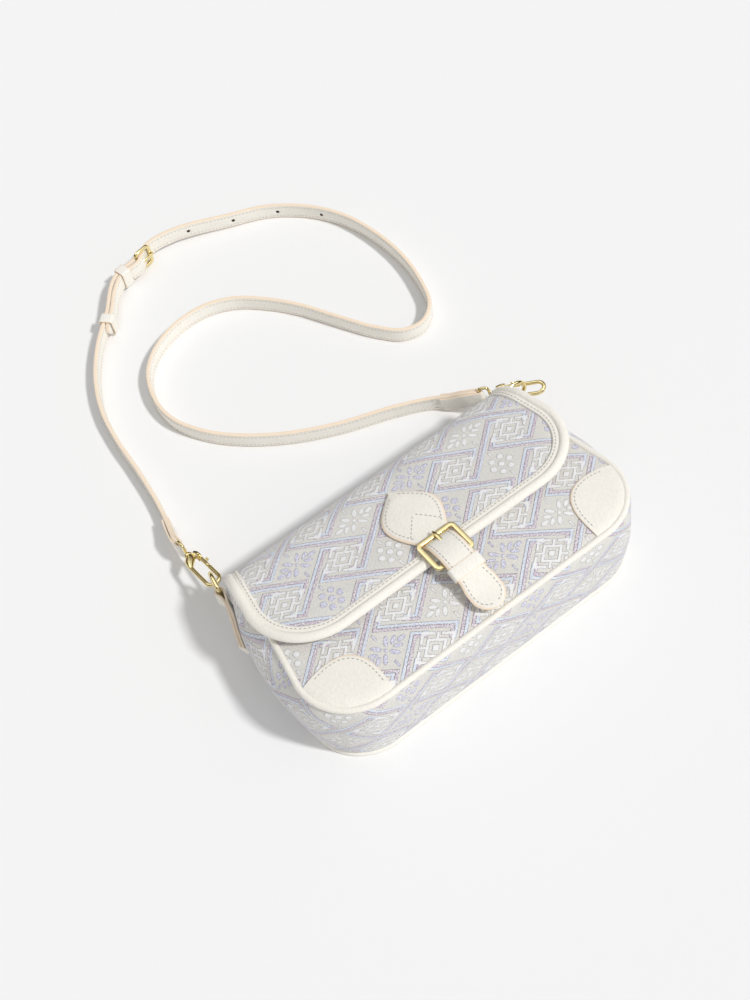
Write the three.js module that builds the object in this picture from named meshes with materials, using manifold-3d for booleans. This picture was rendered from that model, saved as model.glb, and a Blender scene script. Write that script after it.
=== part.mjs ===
// Flap bag with a detachable shoulder strap, lying on its back.
// X runs across the bag, Y from the bottom seam to the top fold, Z up from the table. Millimetres.
import * as THREE from 'three';
import { mergeVertices } from 'three/addons/utils/BufferGeometryUtils.js';
import Module from 'manifold-3d';

const wasm = await Module();
wasm.setup();

// Body
const BOTTOM_WIDTH = 260;
const TOP_WIDTH = 210;
const PANEL_HEIGHT = 110;
const CORNER_RADIUS = 38;
const DEPTH_BOTTOM = 70;
const DEPTH_TOP = 61;
const MOUTH_RISE = 12;
const FRONT_CROWN = 7;
const SIDE_BULGE = 9;
const CORNER_BULGE = 2;
const BOTTOM_BULGE = 2.5;
const CLOTH_THICKNESS = 2;
const LINING_THICKNESS = 0.8;
const PIPING_DIAMETER = 4;
const GUSSET_INSET = 0.5;
const LINING_INSET = 5;
const BASE_BOARD_LENGTH = 160;
const BASE_BOARD_THICKNESS = 1.6;
const TRIM_WIDTH = 9;
const TRIM_THICKNESS = 0.8;
const GAP = 0.3;

// Flap
const FLAP_EDGE_INSET = 3;
const FLAP_FOLD_OVERHANG = 5.5;
const FLAP_STRAIGHT = 67;
const FLAP_CORNER_RADIUS = 45;
const FLAP_EASE = 1.2;
const BINDING_WIDTH = 12;
const BINDING_PROUD = 0.5;

// Corner patches
const PATCH_ALONG_BOTTOM = 52;
const PATCH_UP_SIDE = 38;
const PATCH_BOW = 21;
const PATCH_THICKNESS = 1.2;

// Closure
const LEAF_LENGTH = 51;
const LEAF_WIDTH = 40;
const LEAF_POINT = 24;
const TONGUE_WIDTH = 20;
const TONGUE_THICKNESS = 2.2;
const TONGUE_REACH = 48;
const BUCKLE_OVERHANG = 8;
const BUCKLE_BAR_SPACING = 21;
const WIRE_DIAMETER = 2.6;
const BUCKLE_SIDE_CLEARANCE = 1.9;
const CHAPE_THICKNESS = 1.3;
const CHAPE_WIDTH = 18;
const CHAPE_TIP_MARGIN = 3.4;
const PRONG_WIDTH = 2;
const PRONG_THICKNESS = 1.8;
const SLOT_WIDTH = 3.4;
const KEEPER_LENGTH = 10;
const KEEPER_WALL = 1.2;
const KEEPER_OFFSET = 10;
const SNAP_TIP_OFFSET = 11.4;
const SNAP_RADIUS = 8;
const SNAP_BOSS_RADIUS = 2.8;
const SNAP_BOSS_HEIGHT = 1;
const SNAP_PIT_PLAY = 0.8;
const SOCKET_HEIGHT = 2.6;
const STUD_HEIGHT = 1.4;

// Side tabs and D-rings
const TAB_WIDTH = 14;
const TAB_LENGTH = 40;
const TAB_RISE = 2.5;
const TAB_THICKNESS = 1.6;
const RING_WIRE = 3;
const RING_INNER_WIDTH = 16;
const RING_STRAIGHT = 8;
const RING_CLEARANCE = 0.4;
const RING_TURN_LEFT = 80;
const RING_TURN_RIGHT = -2;

// Snap hooks
const HOOK_BASE_LENGTH = 11;
const HOOK_BASE_THICKNESS = 5.2;
const HOOK_HALF_WIDTH = 4.75;
const HOOK_WIRE = 3;
const HOOK_STRAIGHT = 32;
const HOOK_TIP = 20.5;
const HOOK_SLOPE = 14;
const HOOK_DROP = 4;
const HOOK_HEADING_LEFT = -87;
const HOOK_HEADING_RIGHT = -41;
const HOOK_PLAY_LEFT = 1.6;
const HOOK_PLAY_RIGHT = 11.5;
const HOOK_ASIDE_LEFT = 0;
const HOOK_ASIDE_RIGHT = 0.45;
const GATE_PIVOT = 7.2;
const RIVET_RADIUS = 0.6;
const POST_RADIUS = 1.4;
const POST_LENGTH = 4;
const EYE_LENGTH = 9;
const EYE_WIRE = 2.2;

// Shoulder strap, standing on its edge
const STRAP_WIDTH = 13;
const STRAP_THICKNESS = 2.8;
const STRAP_BUCKLE_SPACING = 13;
const STRAP_BUCKLE_CLEARANCE = 0.9;
const STRAP_BUCKLE_X = 2;
const STRAP_BUCKLE_Y = 370;
const STRAP_BUCKLE_Z = 10.8;
const STRAP_BUCKLE_TURN = 11;
const STRAP_LOW = 7;
const TAIL_LENGTH = 70;
const STRAP_KEEPER_LENGTH = 8;
const FIXED_KEEPER_OFFSET = 14;
const SLIDING_KEEPER_OFFSET = 62;
const STRAP_SLOT_LENGTH = 15;
const STRAP_NOTCH_LENGTH = 7.5;

const leather = new THREE.MeshStandardMaterial({ color: 0xece3cf, roughness: 0.6, metalness: 0 });
const cloth = new THREE.MeshStandardMaterial({ color: 0xaaa4a6, roughness: 0.75, metalness: 0 });
const liningCloth = new THREE.MeshStandardMaterial({ color: 0xcbbfae, roughness: 0.8, metalness: 0 });
const gold = new THREE.MeshStandardMaterial({ color: 0xe0c48c, roughness: 0.25, metalness: 1 });
const board = new THREE.MeshStandardMaterial({ color: 0x9a8d7c, roughness: 0.9, metalness: 0 });

const bag = new THREE.Group();
bag.name = 'flap_bag';
const vec = (x, y, z) => new THREE.Vector3(x, y, z);
const radians = THREE.MathUtils.degToRad;
const mix = THREE.MathUtils.lerp;

// Derived sizes
const wireRadius = WIRE_DIAMETER / 2;
const pipingRadius = PIPING_DIAMETER / 2;
const panelInset = PIPING_DIAMETER + GAP;
const flapStack = CLOTH_THICKNESS + GAP + LINING_THICKNESS;
const crownHalf = (PANEL_HEIGHT + MOUTH_RISE) / 2;
const crownAtFold = FRONT_CROWN * (1 - ((PANEL_HEIGHT - crownHalf) / crownHalf) ** 2);
const foldRadius = (DEPTH_TOP + crownAtFold + flapStack + FLAP_EASE) / 2;
const bottomY = -(PANEL_HEIGHT + foldRadius) / 2;
const foldY = bottomY + PANEL_HEIGHT;
const topY = foldY + foldRadius;
const mouthY = foldY + MOUTH_RISE;
const crownY = bottomY + crownHalf;
const flapEdgeHalf = BOTTOM_WIDTH / 2 - FLAP_EDGE_INSET;
const flapFoldHalf = TOP_WIDTH / 2 + FLAP_FOLD_OVERHANG;

const halfWidthAt = (y) => mix(BOTTOM_WIDTH / 2, TOP_WIDTH / 2, (y - bottomY) / (topY - bottomY));
const frontPlane = (y) => mix(DEPTH_BOTTOM, DEPTH_TOP, (y - bottomY) / PANEL_HEIGHT);

// Height of the puffed front panel's outer face.
function frontZ(x, y) {
  const across = Math.max(0, 1 - (x / halfWidthAt(y)) ** 2);
  const along = Math.max(0, 1 - ((y - crownY) / crownHalf) ** 2);
  return frontPlane(y) + FRONT_CROWN * across * along;
}

const flapRise = Math.atan2(
  frontZ(0, crownY) + flapStack + FLAP_EASE - 2 * foldRadius,
  foldY - crownY,
);
const foldAngle = Math.PI / 2 - flapRise;
const flapLength = foldRadius * foldAngle + FLAP_STRAIGHT;

// A point on the flap: x across, s along the outer face from the hinge, n off that face.
function onFlap(x, s, n) {
  const arc = foldRadius * foldAngle;
  const angle = Math.min(s, arc) / foldRadius;
  const past = Math.max(0, s - arc);
  const y = foldY + (foldRadius + n) * Math.cos(angle) - past * Math.sin(angle);
  const z = foldRadius + (foldRadius + n) * Math.sin(angle) + past * Math.cos(angle);
  return vec(x, y, z);
}

const flapArcEnd = onFlap(0, foldRadius * foldAngle, 0);
const flapEdge = onFlap(0, flapLength, 0);

// Height of the flap's outer face over the front panel.
function flapZ(y) {
  if (y > flapArcEnd.y) return foldRadius + Math.sqrt(foldRadius ** 2 - (y - foldY) ** 2);
  return flapArcEnd.z + (flapArcEnd.y - y) * Math.tan(flapRise);
}

// Adds one named piece.
function piece(parent, name, geometry, material) {
  const mesh = new THREE.Mesh(geometry, material);
  mesh.name = name;
  parent.add(mesh);
}

// A group whose local axes are the given right-handed set.
function frameAt(origin, xAxis, yAxis) {
  const group = new THREE.Group();
  const zAxis = xAxis.clone().cross(yAxis);
  group.quaternion.setFromRotationMatrix(new THREE.Matrix4().makeBasis(xAxis, yAxis, zAxis));
  group.position.copy(origin);
  bag.add(group);
  return group;
}

function solid(geometry) {
  const bare = geometry.clone();
  bare.deleteAttribute('normal');
  bare.deleteAttribute('uv');
  const merged = mergeVertices(bare, 1e-4);
  const mesh = new wasm.Mesh({
    numProp: 3,
    vertProperties: merged.attributes.position.array,
    triVerts: new Uint32Array(merged.index.array),
  });
  return new wasm.Manifold(mesh);
}

function surface(manifold) {
  const mesh = manifold.getMesh();
  const geometry = new THREE.BufferGeometry();
  geometry.setAttribute('position', new THREE.Float32BufferAttribute(mesh.vertProperties, 3));
  geometry.setIndex(new THREE.Uint32BufferAttribute(mesh.triVerts, 1));
  geometry.computeVertexNormals();
  return geometry;
}

const joined = (a, b) => surface(solid(a).add(solid(b)));
const cut = (a, b) => surface(solid(a).subtract(solid(b)));

// A closed sheet between two grids of points.
function sheet(outer, inner) {
  const rows = outer.length;
  const columns = outer[0].length;
  const points = [...outer.flat(), ...inner.flat()];
  const at = (i, j) => i * columns + j;
  const under = (i, j) => rows * columns + at(i, j);
  const faces = [];
  const quad = (a, b, c, d) => faces.push(a, b, c, a, c, d);
  for (let i = 0; i < rows - 1; i += 1) {
    for (let j = 0; j < columns - 1; j += 1) {
      quad(at(i, j), at(i + 1, j), at(i + 1, j + 1), at(i, j + 1));
      quad(under(i, j), under(i, j + 1), under(i + 1, j + 1), under(i + 1, j));
    }
    quad(at(i + 1, 0), at(i, 0), under(i, 0), under(i + 1, 0));
    const last = columns - 1;
    quad(at(i, last), at(i + 1, last), under(i + 1, last), under(i, last));
  }
  for (let j = 0; j < columns - 1; j += 1) {
    const end = rows - 1;
    quad(at(0, j), at(0, j + 1), under(0, j + 1), under(0, j));
    quad(at(end, j + 1), at(end, j), under(end, j), under(end, j + 1));
  }
  let volume = 0;
  for (let k = 0; k < faces.length; k += 3) {
    const side = points[faces[k + 1]].clone().cross(points[faces[k + 2]]);
    volume += points[faces[k]].dot(side);
  }
  if (volume < 0) faces.reverse();
  const geometry = new THREE.BufferGeometry().setFromPoints(points);
  geometry.setIndex(faces);
  geometry.computeVertexNormals();
  return geometry;
}

// Right half of a U outline, from the middle of its bottom up to endY, moved in by the two insets.
function halfOutline(size, sideInset, bottomInset, endY) {
  const lean = Math.atan2(size.bottomHalf - size.topHalf, size.top - size.bottom);
  const sideX = (y) => {
    const t = (y - size.bottom) / (size.top - size.bottom);
    return mix(size.bottomHalf, size.topHalf, t) - sideInset / Math.cos(lean);
  };
  const floor = size.bottom + bottomInset;
  const radius = size.radius - (sideInset + bottomInset) / 2;
  const centreX = sideX(floor) - radius * (1 + Math.sin(lean)) / Math.cos(lean);
  const centreY = floor + radius;
  const bottom = [];
  const side = [];
  for (let i = 0; i < size.bottomSteps; i += 1) {
    bottom.push(new THREE.Vector2(centreX * i / size.bottomSteps, floor));
  }
  for (let i = 0; i <= size.cornerSteps; i += 1) {
    const angle = mix(-Math.PI / 2, lean, i / size.cornerSteps);
    side.push(new THREE.Vector2(centreX + radius * Math.cos(angle), centreY + radius * Math.sin(angle)));
  }
  const joinY = side[side.length - 1].y;
  for (let i = 1; i <= size.sideSteps; i += 1) {
    const y = mix(joinY, endY, i / size.sideSteps);
    side.push(new THREE.Vector2(sideX(y), y));
  }
  return { bottom, side };
}

// The whole U, left top to right top.
function outline(size, sideInset, bottomInset, endY) {
  const { bottom, side } = halfOutline(size, sideInset, bottomInset, endY);
  const right = [...bottom, ...side];
  const left = right.slice(1).reverse().map((p) => new THREE.Vector2(-p.x, p.y));
  return [...left, ...right];
}

const bodySize = {
  bottomHalf: BOTTOM_WIDTH / 2,
  topHalf: TOP_WIDTH / 2,
  bottom: bottomY,
  top: topY,
  radius: CORNER_RADIUS,
  bottomSteps: 6,
  cornerSteps: 7,
  sideSteps: 6,
};

// The flap laid flat: its Y is minus the length along the outer face.
const flapSize = {
  bottomHalf: flapEdgeHalf,
  topHalf: flapFoldHalf,
  bottom: -flapLength,
  top: 0,
  radius: FLAP_CORNER_RADIUS,
  bottomSteps: 6,
  cornerSteps: 8,
  sideSteps: 14,
};

const ACROSS = 12;
const across = (half) => Array.from({ length: ACROSS + 1 }, (_, j) => mix(-half, half, j / ACROSS));

// A round cord along points.
function cord(points, radius, steps) {
  const circle = new THREE.Shape().absarc(0, 0, radius, 0, 2 * Math.PI);
  const extrudePath = new THREE.CatmullRomCurve3(points);
  return new THREE.ExtrudeGeometry(circle, { steps, extrudePath, curveSegments: 4, bevelEnabled: false });
}

// A prism over a flat outline whose top follows high(y).
function prism(points, low, high) {
  const geometry = new THREE.ExtrudeGeometry(new THREE.Shape(points), { depth: 1, bevelEnabled: false });
  const position = geometry.attributes.position;
  for (let i = 0; i < position.count; i += 1) {
    position.setZ(i, position.getZ(i) > 0.5 ? high(position.getY(i)) : low);
  }
  return geometry;
}

// Back panel with the lower half of the fold.
function backPanel() {
  const rows = halfOutline(bodySize, panelInset, panelInset, foldY).side;
  const outer = rows.map((p) => across(p.x).map((x) => vec(x, p.y, 0)));
  const inner = rows.map((p) => across(p.x).map((x) => vec(x, p.y, CLOTH_THICKNESS)));
  const flatHalf = rows[rows.length - 1].x;
  const arcSteps = 10;
  for (let i = 1; i <= arcSteps; i += 1) {
    const angle = mix(-Math.PI / 2, 0, i / arcSteps);
    const half = mix(flatHalf, flapFoldHalf, i / arcSteps);
    const arcPoint = (x, r) => vec(x, foldY + r * Math.cos(angle), foldRadius + r * Math.sin(angle));
    outer.push(across(half).map((x) => arcPoint(x, foldRadius)));
    inner.push(across(half).map((x) => arcPoint(x, foldRadius - CLOTH_THICKNESS)));
  }
  return sheet(outer, inner);
}

function frontPanel() {
  const rows = halfOutline(bodySize, panelInset, panelInset, mouthY).side;
  const outer = rows.map((p) => across(p.x).map((x) => vec(x, p.y, frontZ(x, p.y))));
  const inner = outer.map((row) => row.map((p) => vec(p.x, p.y, p.z - CLOTH_THICKNESS)));
  return sheet(outer, inner);
}

// A strip of leather over the front panel's top edge.
function mouthTrim() {
  const lift = [mouthY - TRIM_WIDTH, mouthY - TRIM_WIDTH / 2, mouthY].map((y) => {
    const half = halfWidthAt(y) - panelInset;
    return across(half).map((x) => vec(x, y, frontZ(x, y) + GAP));
  });
  return sheet(lift.map((row) => row.map((p) => vec(p.x, p.y, p.z + TRIM_THICKNESS))), lift);
}

const gussetLow = PIPING_DIAMETER + GAP;
const pipingSink = 1;
const gussetDrop = pipingSink + pipingRadius + GAP;
const foldInner = foldRadius - flapStack - BINDING_PROUD - 2 * GAP;

// How far up the gusset's side reaches inside the fold at height z.
const gussetEnd = (z) => foldY + Math.sqrt(Math.max(4, foldInner ** 2 - (z - foldRadius) ** 2));

// Size of the gusset's outline at a share of its full swell.
const gussetSize = (swell) => ({
  ...bodySize,
  bottomHalf: bodySize.bottomHalf + CORNER_BULGE * swell,
  topHalf: bodySize.topHalf + SIDE_BULGE * swell,
});

function gussetLayer(inset) {
  const levels = 10;
  const rows = [];
  for (let i = 0; i <= levels; i += 1) {
    const t = i / levels;
    const swell = Math.sin(Math.PI * t);
    const endZ = mix(gussetLow, frontPlane(mouthY) - gussetDrop, t);
    const path = outline(gussetSize(swell), inset, inset - BOTTOM_BULGE * swell, gussetEnd(endZ));
    rows.push(path.map((p) => vec(p.x, p.y, mix(gussetLow, frontPlane(p.y) - gussetDrop, t))));
  }
  return rows;
}

function lining() {
  const end = foldY - GAP;
  const low = CLOTH_THICKNESS + GAP;
  const high = (y) => frontPlane(y) - CLOTH_THICKNESS - GAP;
  const outer = outline(bodySize, LINING_INSET, LINING_INSET, end);
  const innerInset = LINING_INSET + LINING_THICKNESS;
  const inner = outline(bodySize, innerInset, innerInset, end + 5);
  const hollow = prism(inner, low + LINING_THICKNESS, (y) => high(y) - LINING_THICKNESS);
  return cut(prism(outer, low, high), hollow);
}

function baseBoard() {
  const low = gussetLow + GAP;
  const high = DEPTH_BOTTOM - gussetDrop - GAP;
  const inset = GUSSET_INSET + CLOTH_THICKNESS + GAP;
  const geometry = new THREE.BoxGeometry(BASE_BOARD_LENGTH, BASE_BOARD_THICKNESS, high - low);
  geometry.translate(0, bottomY + inset + BASE_BOARD_THICKNESS / 2, (low + high) / 2);
  return geometry;
}

const frontSeam = outline(bodySize, pipingRadius, pipingRadius, mouthY);
const rearSeam = outline(bodySize, pipingRadius, pipingRadius, foldY - GAP);
const frontPiping = frontSeam.map((p) => vec(p.x, p.y, frontPlane(p.y) - pipingSink));
const rearPiping = rearSeam.map((p) => vec(p.x, p.y, pipingRadius));

piece(bag, 'back_panel', backPanel(), cloth);
piece(bag, 'front_panel', frontPanel(), cloth);
piece(bag, 'gusset', sheet(gussetLayer(GUSSET_INSET), gussetLayer(GUSSET_INSET + CLOTH_THICKNESS)), cloth);
piece(bag, 'lining', lining(), liningCloth);
piece(bag, 'base_board', baseBoard(), board);
piece(bag, 'mouth_trim', mouthTrim(), leather);
piece(bag, 'front_piping', cord(frontPiping, pipingRadius, 60), leather);
piece(bag, 'rear_piping', cord(rearPiping, pipingRadius, 60), leather);

// Leather over one lower corner of the front, between the seam and an inward bow.
function cornerPatch(side) {
  const inset = panelInset + GAP;
  const path = halfOutline(bodySize, inset, inset, mouthY);
  const seam = new THREE.SplineCurve([...path.bottom, ...path.side]);
  const seamPoints = seam.getSpacedPoints(200);
  const sideEnd = seamPoints.findIndex((p) => p.y > bottomY + PATCH_UP_SIDE);
  const bottomEnd = seamPoints.findIndex((p) => p.x > BOTTOM_WIDTH / 2 - PATCH_ALONG_BOTTOM);
  const a = seamPoints[bottomEnd];
  const b = seamPoints[sideEnd];
  const chord = b.clone().sub(a);
  const inward = new THREE.Vector2(-chord.y, chord.x).normalize();
  const columns = 14;
  const depth = 4;
  const low = [];
  for (let i = 0; i <= columns; i += 1) {
    const t = mix(0.04, 0.96, i / columns);
    const onSeam = seamPoints[Math.round(mix(bottomEnd, sideEnd, t))];
    const bow = a.clone().addScaledVector(chord, t);
    bow.addScaledVector(inward, PATCH_BOW * (1 - (2 * t - 1) ** 2));
    const row = [];
    for (let j = 0; j <= depth; j += 1) {
      const p = onSeam.clone().lerp(bow, j / depth);
      row.push(vec(side * p.x, p.y, frontZ(p.x, p.y) + GAP));
    }
    low.push(row);
  }
  return sheet(low.map((row) => row.map((p) => vec(p.x, p.y, p.z + PATCH_THICKNESS))), low);
}

piece(bag, 'corner_patch_left', cornerPatch(-1), leather);
piece(bag, 'corner_patch_right', cornerPatch(1), leather);

// One layer of the flap inside its binding, between two depths under the outer face.
function flapLayer(top, bottom) {
  const inset = BINDING_WIDTH + GAP;
  const rows = halfOutline(flapSize, inset, inset, -GAP).side;
  const outer = rows.map((p) => across(p.x).map((x) => onFlap(x, -p.y, -top)));
  const inner = rows.map((p) => across(p.x).map((x) => onFlap(x, -p.y, -bottom)));
  return sheet(outer, inner);
}

function flapBinding() {
  const edge = outline(flapSize, 0, 0, -GAP);
  const inside = outline(flapSize, BINDING_WIDTH, BINDING_WIDTH, -GAP);
  const layer = (n) => edge.map((p, i) => [p, inside[i]].map((q) => onFlap(q.x, -q.y, n)));
  return sheet(layer(BINDING_PROUD), layer(-flapStack - BINDING_PROUD));
}

piece(bag, 'flap', flapLayer(0, CLOTH_THICKNESS), cloth);
piece(bag, 'flap_lining', flapLayer(CLOTH_THICKNESS + GAP, flapStack), liningCloth);
piece(bag, 'flap_binding', flapBinding(), leather);

// Closure: places along the tongue
const hingeY = flapEdge.y - BUCKLE_OVERHANG;
const hingeZ = flapEdge.z + BINDING_PROUD + 2 * wireRadius + GAP;
const frontBarY = hingeY + BUCKLE_BAR_SPACING;
const frontBarZ = flapZ(frontBarY) + TONGUE_THICKNESS + 3 * GAP + wireRadius;
const tipY = flapEdge.y - TONGUE_REACH;
const snapY = tipY + SNAP_TIP_OFFSET;
const leafTopY = frontBarY + LEAF_LENGTH;
const loopInner = wireRadius + 0.35;
const loopOuter = loopInner + CHAPE_THICKNESS;
const snapSlope = (frontZ(0, snapY + 1) - frontZ(0, snapY - 1)) / 2;
const snapStack = SOCKET_HEIGHT + STUD_HEIGHT + CHAPE_THICKNESS + 5 * GAP;
const snapTongueZ = frontZ(0, snapY) + snapStack;

// Underside of the tongue, as a curve in the YZ plane.
const overFlap = [leafTopY, leafTopY - 12, leafTopY - 24, leafTopY - 36, frontBarY + 2, frontBarY - 2];
const tongueLine = new THREE.CatmullRomCurve3([
  ...overFlap.map((y) => vec(0, y, flapZ(y) + 2 * GAP)),
  vec(0, hingeY, hingeZ + loopOuter + GAP),
  vec(0, snapY, snapTongueZ),
  vec(0, tipY, snapTongueZ - (snapY - tipY) * snapSlope),
]);
const tonguePoints = tongueLine.getSpacedPoints(160);

// Half width of the leaf and tongue at y.
function tongueHalf(y) {
  const broadY = leafTopY - LEAF_POINT;
  const narrow = TONGUE_WIDTH / 2;
  if (y > broadY) return LEAF_WIDTH / 2 * Math.sin(Math.PI / 2 * (leafTopY - y) / LEAF_POINT);
  if (y > frontBarY) {
    const t = (y - frontBarY) / (broadY - frontBarY);
    return mix(narrow, LEAF_WIDTH / 2, Math.sin(Math.PI / 2 * t));
  }
  const toTip = Math.max(0, tipY + narrow - y);
  return Math.sqrt(narrow ** 2 - toTip ** 2);
}

// A leather strip under or over the tongue line, between two offsets, from point first to point last.
function tongueStrip(first, last, every, half, low, high) {
  const top = [];
  const under = [];
  for (let k = first; k <= last; k += every) {
    const p = tonguePoints[k];
    const w = half(p.y);
    const row = [-w, -w / 2, 0, w / 2, w];
    top.push(row.map((x) => vec(x, p.y, p.z + high)));
    under.push(row.map((x) => vec(x, p.y, p.z + low)));
  }
  return sheet(top, under);
}

const tongueIndex = (y) => tonguePoints.findIndex((p) => p.y < y);

function closureStrap() {
  const strip = tongueStrip(2, 158, 4, tongueHalf, 0, TONGUE_THICKNESS);
  const slotEnd = frontBarY - 5;
  const slotStart = hingeY - SLOT_WIDTH;
  const slot = new THREE.BoxGeometry(SLOT_WIDTH, slotEnd - slotStart, 40);
  slot.translate(0, (slotEnd + slotStart) / 2, hingeZ);
  return cut(strip, slot);
}

// Leather that loops the buckle's hinge bar and runs down under the tongue.
function closureChape() {
  const ring = new THREE.Shape().absarc(0, 0, loopOuter, 0, 2 * Math.PI);
  ring.holes.push(new THREE.Path().absarc(0, 0, loopInner, 0, 2 * Math.PI));
  const options = { depth: CHAPE_WIDTH, curveSegments: 10, bevelEnabled: false };
  const loop = new THREE.ExtrudeGeometry(ring, options);
  loop.translate(0, 0, -CHAPE_WIDTH / 2);
  loop.rotateY(Math.PI / 2);
  loop.translate(0, hingeY, hingeZ);
  const first = tongueIndex(hingeY - 1);
  const last = tongueIndex(tipY + CHAPE_TIP_MARGIN);
  const half = () => CHAPE_WIDTH / 2;
  const tail = tongueStrip(first, last, 2, half, -GAP - CHAPE_THICKNESS, -GAP);
  const notch = new THREE.BoxGeometry(SLOT_WIDTH, 4 * loopOuter, 4 * loopOuter);
  notch.translate(0, hingeY + loopOuter - 1.5, hingeZ);
  return cut(joined(loop, tail), notch);
}

// A rounded rectangle as a shape or a hole.
function roundedRectangle(target, x0, x1, y0, y1, r) {
  target.moveTo(x0 + r, y0);
  target.lineTo(x1 - r, y0);
  target.absarc(x1 - r, y0 + r, r, -Math.PI / 2, 0);
  target.lineTo(x1, y1 - r);
  target.absarc(x1 - r, y1 - r, r, 0, Math.PI / 2);
  target.lineTo(x0 + r, y1);
  target.absarc(x0 + r, y1 - r, r, Math.PI / 2, Math.PI);
  target.lineTo(x0, y0 + r);
  target.absarc(x0 + r, y0 + r, r, Math.PI, 1.5 * Math.PI);
  return target;
}

// A flat wire ring from an outer and an inner outline drawn at the wire's core, with rounded edges.
function wireRing(outer, inner, wire) {
  outer.holes.push(inner);
  const bevel = wire * 0.28;
  const depth = wire - 2 * bevel;
  const options = { depth, curveSegments: 5, bevelThickness: bevel, bevelSize: bevel, bevelSegments: 2 };
  const geometry = new THREE.ExtrudeGeometry(outer, options);
  geometry.translate(0, 0, -depth / 2);
  return geometry;
}

// Buckle frame in the XY plane: hinge bar on the Y axis, second bar at x = spacing.
function buckleFrame(spacing, innerWidth, wire) {
  const core = wire / 2 - wire * 0.28;
  const half = innerWidth / 2 + wire / 2;
  const reach = half + core;
  const hollow = half - core;
  const outer = roundedRectangle(new THREE.Shape(), -core, spacing + core, -reach, reach, 2 + core);
  const inner = roundedRectangle(new THREE.Path(), core, spacing - core, -hollow, hollow, 2 - core);
  return wireRing(outer, inner, wire);
}

// Prong in the XY plane: loop about the origin, arm that rests over a bar at x = spacing.
function prong(spacing, wire) {
  const eye = wire / 2 + 0.4;
  const body = eye + 1.1;
  const rest = wire / 2 + GAP + PRONG_THICKNESS / 2;
  const tip = spacing + wire / 2 + 1;
  const half = PRONG_THICKNESS / 2;
  const ring = new THREE.Shape().absarc(0, 0, body, 0, 2 * Math.PI);
  ring.holes.push(new THREE.Path().absarc(0, 0, eye, 0, 2 * Math.PI));
  const start = eye + 0.4;
  const arm = new THREE.Shape();
  arm.moveTo(start, -half + 0.4);
  arm.lineTo(spacing - wire, rest - half);
  arm.lineTo(tip, rest - half);
  arm.lineTo(tip, rest + half * 0.4);
  arm.lineTo(tip - 1, rest + half);
  arm.lineTo(spacing - wire, rest + half);
  arm.lineTo(start, half + 0.4);
  const options = { depth: PRONG_WIDTH, curveSegments: 10, bevelEnabled: false };
  const eyeRing = new THREE.ExtrudeGeometry(ring, options);
  const geometry = joined(eyeRing, new THREE.ExtrudeGeometry(arm, options));
  geometry.translate(0, 0, -PRONG_WIDTH / 2);
  return geometry;
}

// Leather loop about the X axis: inner sizes along Y and Z.
function keeper(innerY, innerZ, length) {
  const y = innerY / 2;
  const z = innerZ / 2;
  const wall = KEEPER_WALL;
  const outer = roundedRectangle(new THREE.Shape(), -z - wall, z + wall, -y - wall, y + wall, wall);
  outer.holes.push(roundedRectangle(new THREE.Path(), -z, z, -y, y, 0.4));
  const geometry = new THREE.ExtrudeGeometry(outer, { depth: length, curveSegments: 3, bevelEnabled: false });
  geometry.translate(0, 0, -length / 2);
  geometry.rotateY(Math.PI / 2);
  return geometry;
}

piece(bag, 'closure_strap', closureStrap(), leather);
piece(bag, 'closure_chape', closureChape(), leather);

const hinge = vec(0, hingeY, hingeZ);
const toFrontBar = vec(0, frontBarY - hingeY, frontBarZ - hingeZ);
const closureSpacing = toFrontBar.length();
const closureAlong = toFrontBar.clone().normalize();
const closureFrame = frameAt(hinge, closureAlong, vec(-1, 0, 0));
const closureBuckleWidth = TONGUE_WIDTH + 2 * BUCKLE_SIDE_CLEARANCE;
const closureBuckle = buckleFrame(closureSpacing, closureBuckleWidth, WIRE_DIAMETER);
piece(closureFrame, 'closure_buckle', closureBuckle, gold);
const closureSide = frameAt(hinge, closureAlong, vec(1, 0, 0).cross(closureAlong));
piece(closureSide, 'closure_prong', prong(closureSpacing, WIRE_DIAMETER), gold);

// Keeper around the tongue and the chape's tail, in line with the tongue there.
const keeperIndex = tongueIndex(hingeY - KEEPER_OFFSET);
const keeperAlong = tonguePoints[keeperIndex - 8].clone().sub(tonguePoints[keeperIndex + 8]).normalize();
const keeperUp = vec(1, 0, 0).cross(keeperAlong);
const keeperStack = TONGUE_THICKNESS + CHAPE_THICKNESS + GAP;
const keeperCentre = tonguePoints[keeperIndex].clone();
keeperCentre.z += (TONGUE_THICKNESS - CHAPE_THICKNESS - GAP) / 2;
const keeperFrame = frameAt(keeperCentre, keeperAlong, keeperUp);
const closureKeeper = keeper(keeperStack + 4 * GAP, TONGUE_WIDTH + 4 * GAP, KEEPER_LENGTH);
piece(keeperFrame, 'closure_keeper', closureKeeper, leather);

// Two-part snap between the front panel and the chape.
const snapFrame = new THREE.Group();
snapFrame.position.set(0, snapY, frontZ(0, snapY) + GAP);
snapFrame.rotation.x = Math.atan(snapSlope);
bag.add(snapFrame);
const pit = SNAP_BOSS_RADIUS + SNAP_PIT_PLAY;
const socketProfile = [
  [pit, 0],
  [SNAP_RADIUS, 0],
  [SNAP_RADIUS, SOCKET_HEIGHT],
  [pit, SOCKET_HEIGHT],
  [pit, 0],
];
const socket = new THREE.LatheGeometry(socketProfile.map(([x, y]) => new THREE.Vector2(x, y)), 32);
socket.rotateX(Math.PI / 2);
const studLow = SOCKET_HEIGHT + GAP;
const studTop = studLow + STUD_HEIGHT;
const bossLow = studLow - SNAP_BOSS_HEIGHT;
const studProfile = [
  [0, bossLow],
  [SNAP_BOSS_RADIUS, bossLow],
  [SNAP_BOSS_RADIUS, studLow],
  [SNAP_RADIUS, studLow],
  [SNAP_RADIUS, studTop],
  [0, studTop],
];
const stud = new THREE.LatheGeometry(studProfile.map(([x, y]) => new THREE.Vector2(x, y)), 32);
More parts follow.
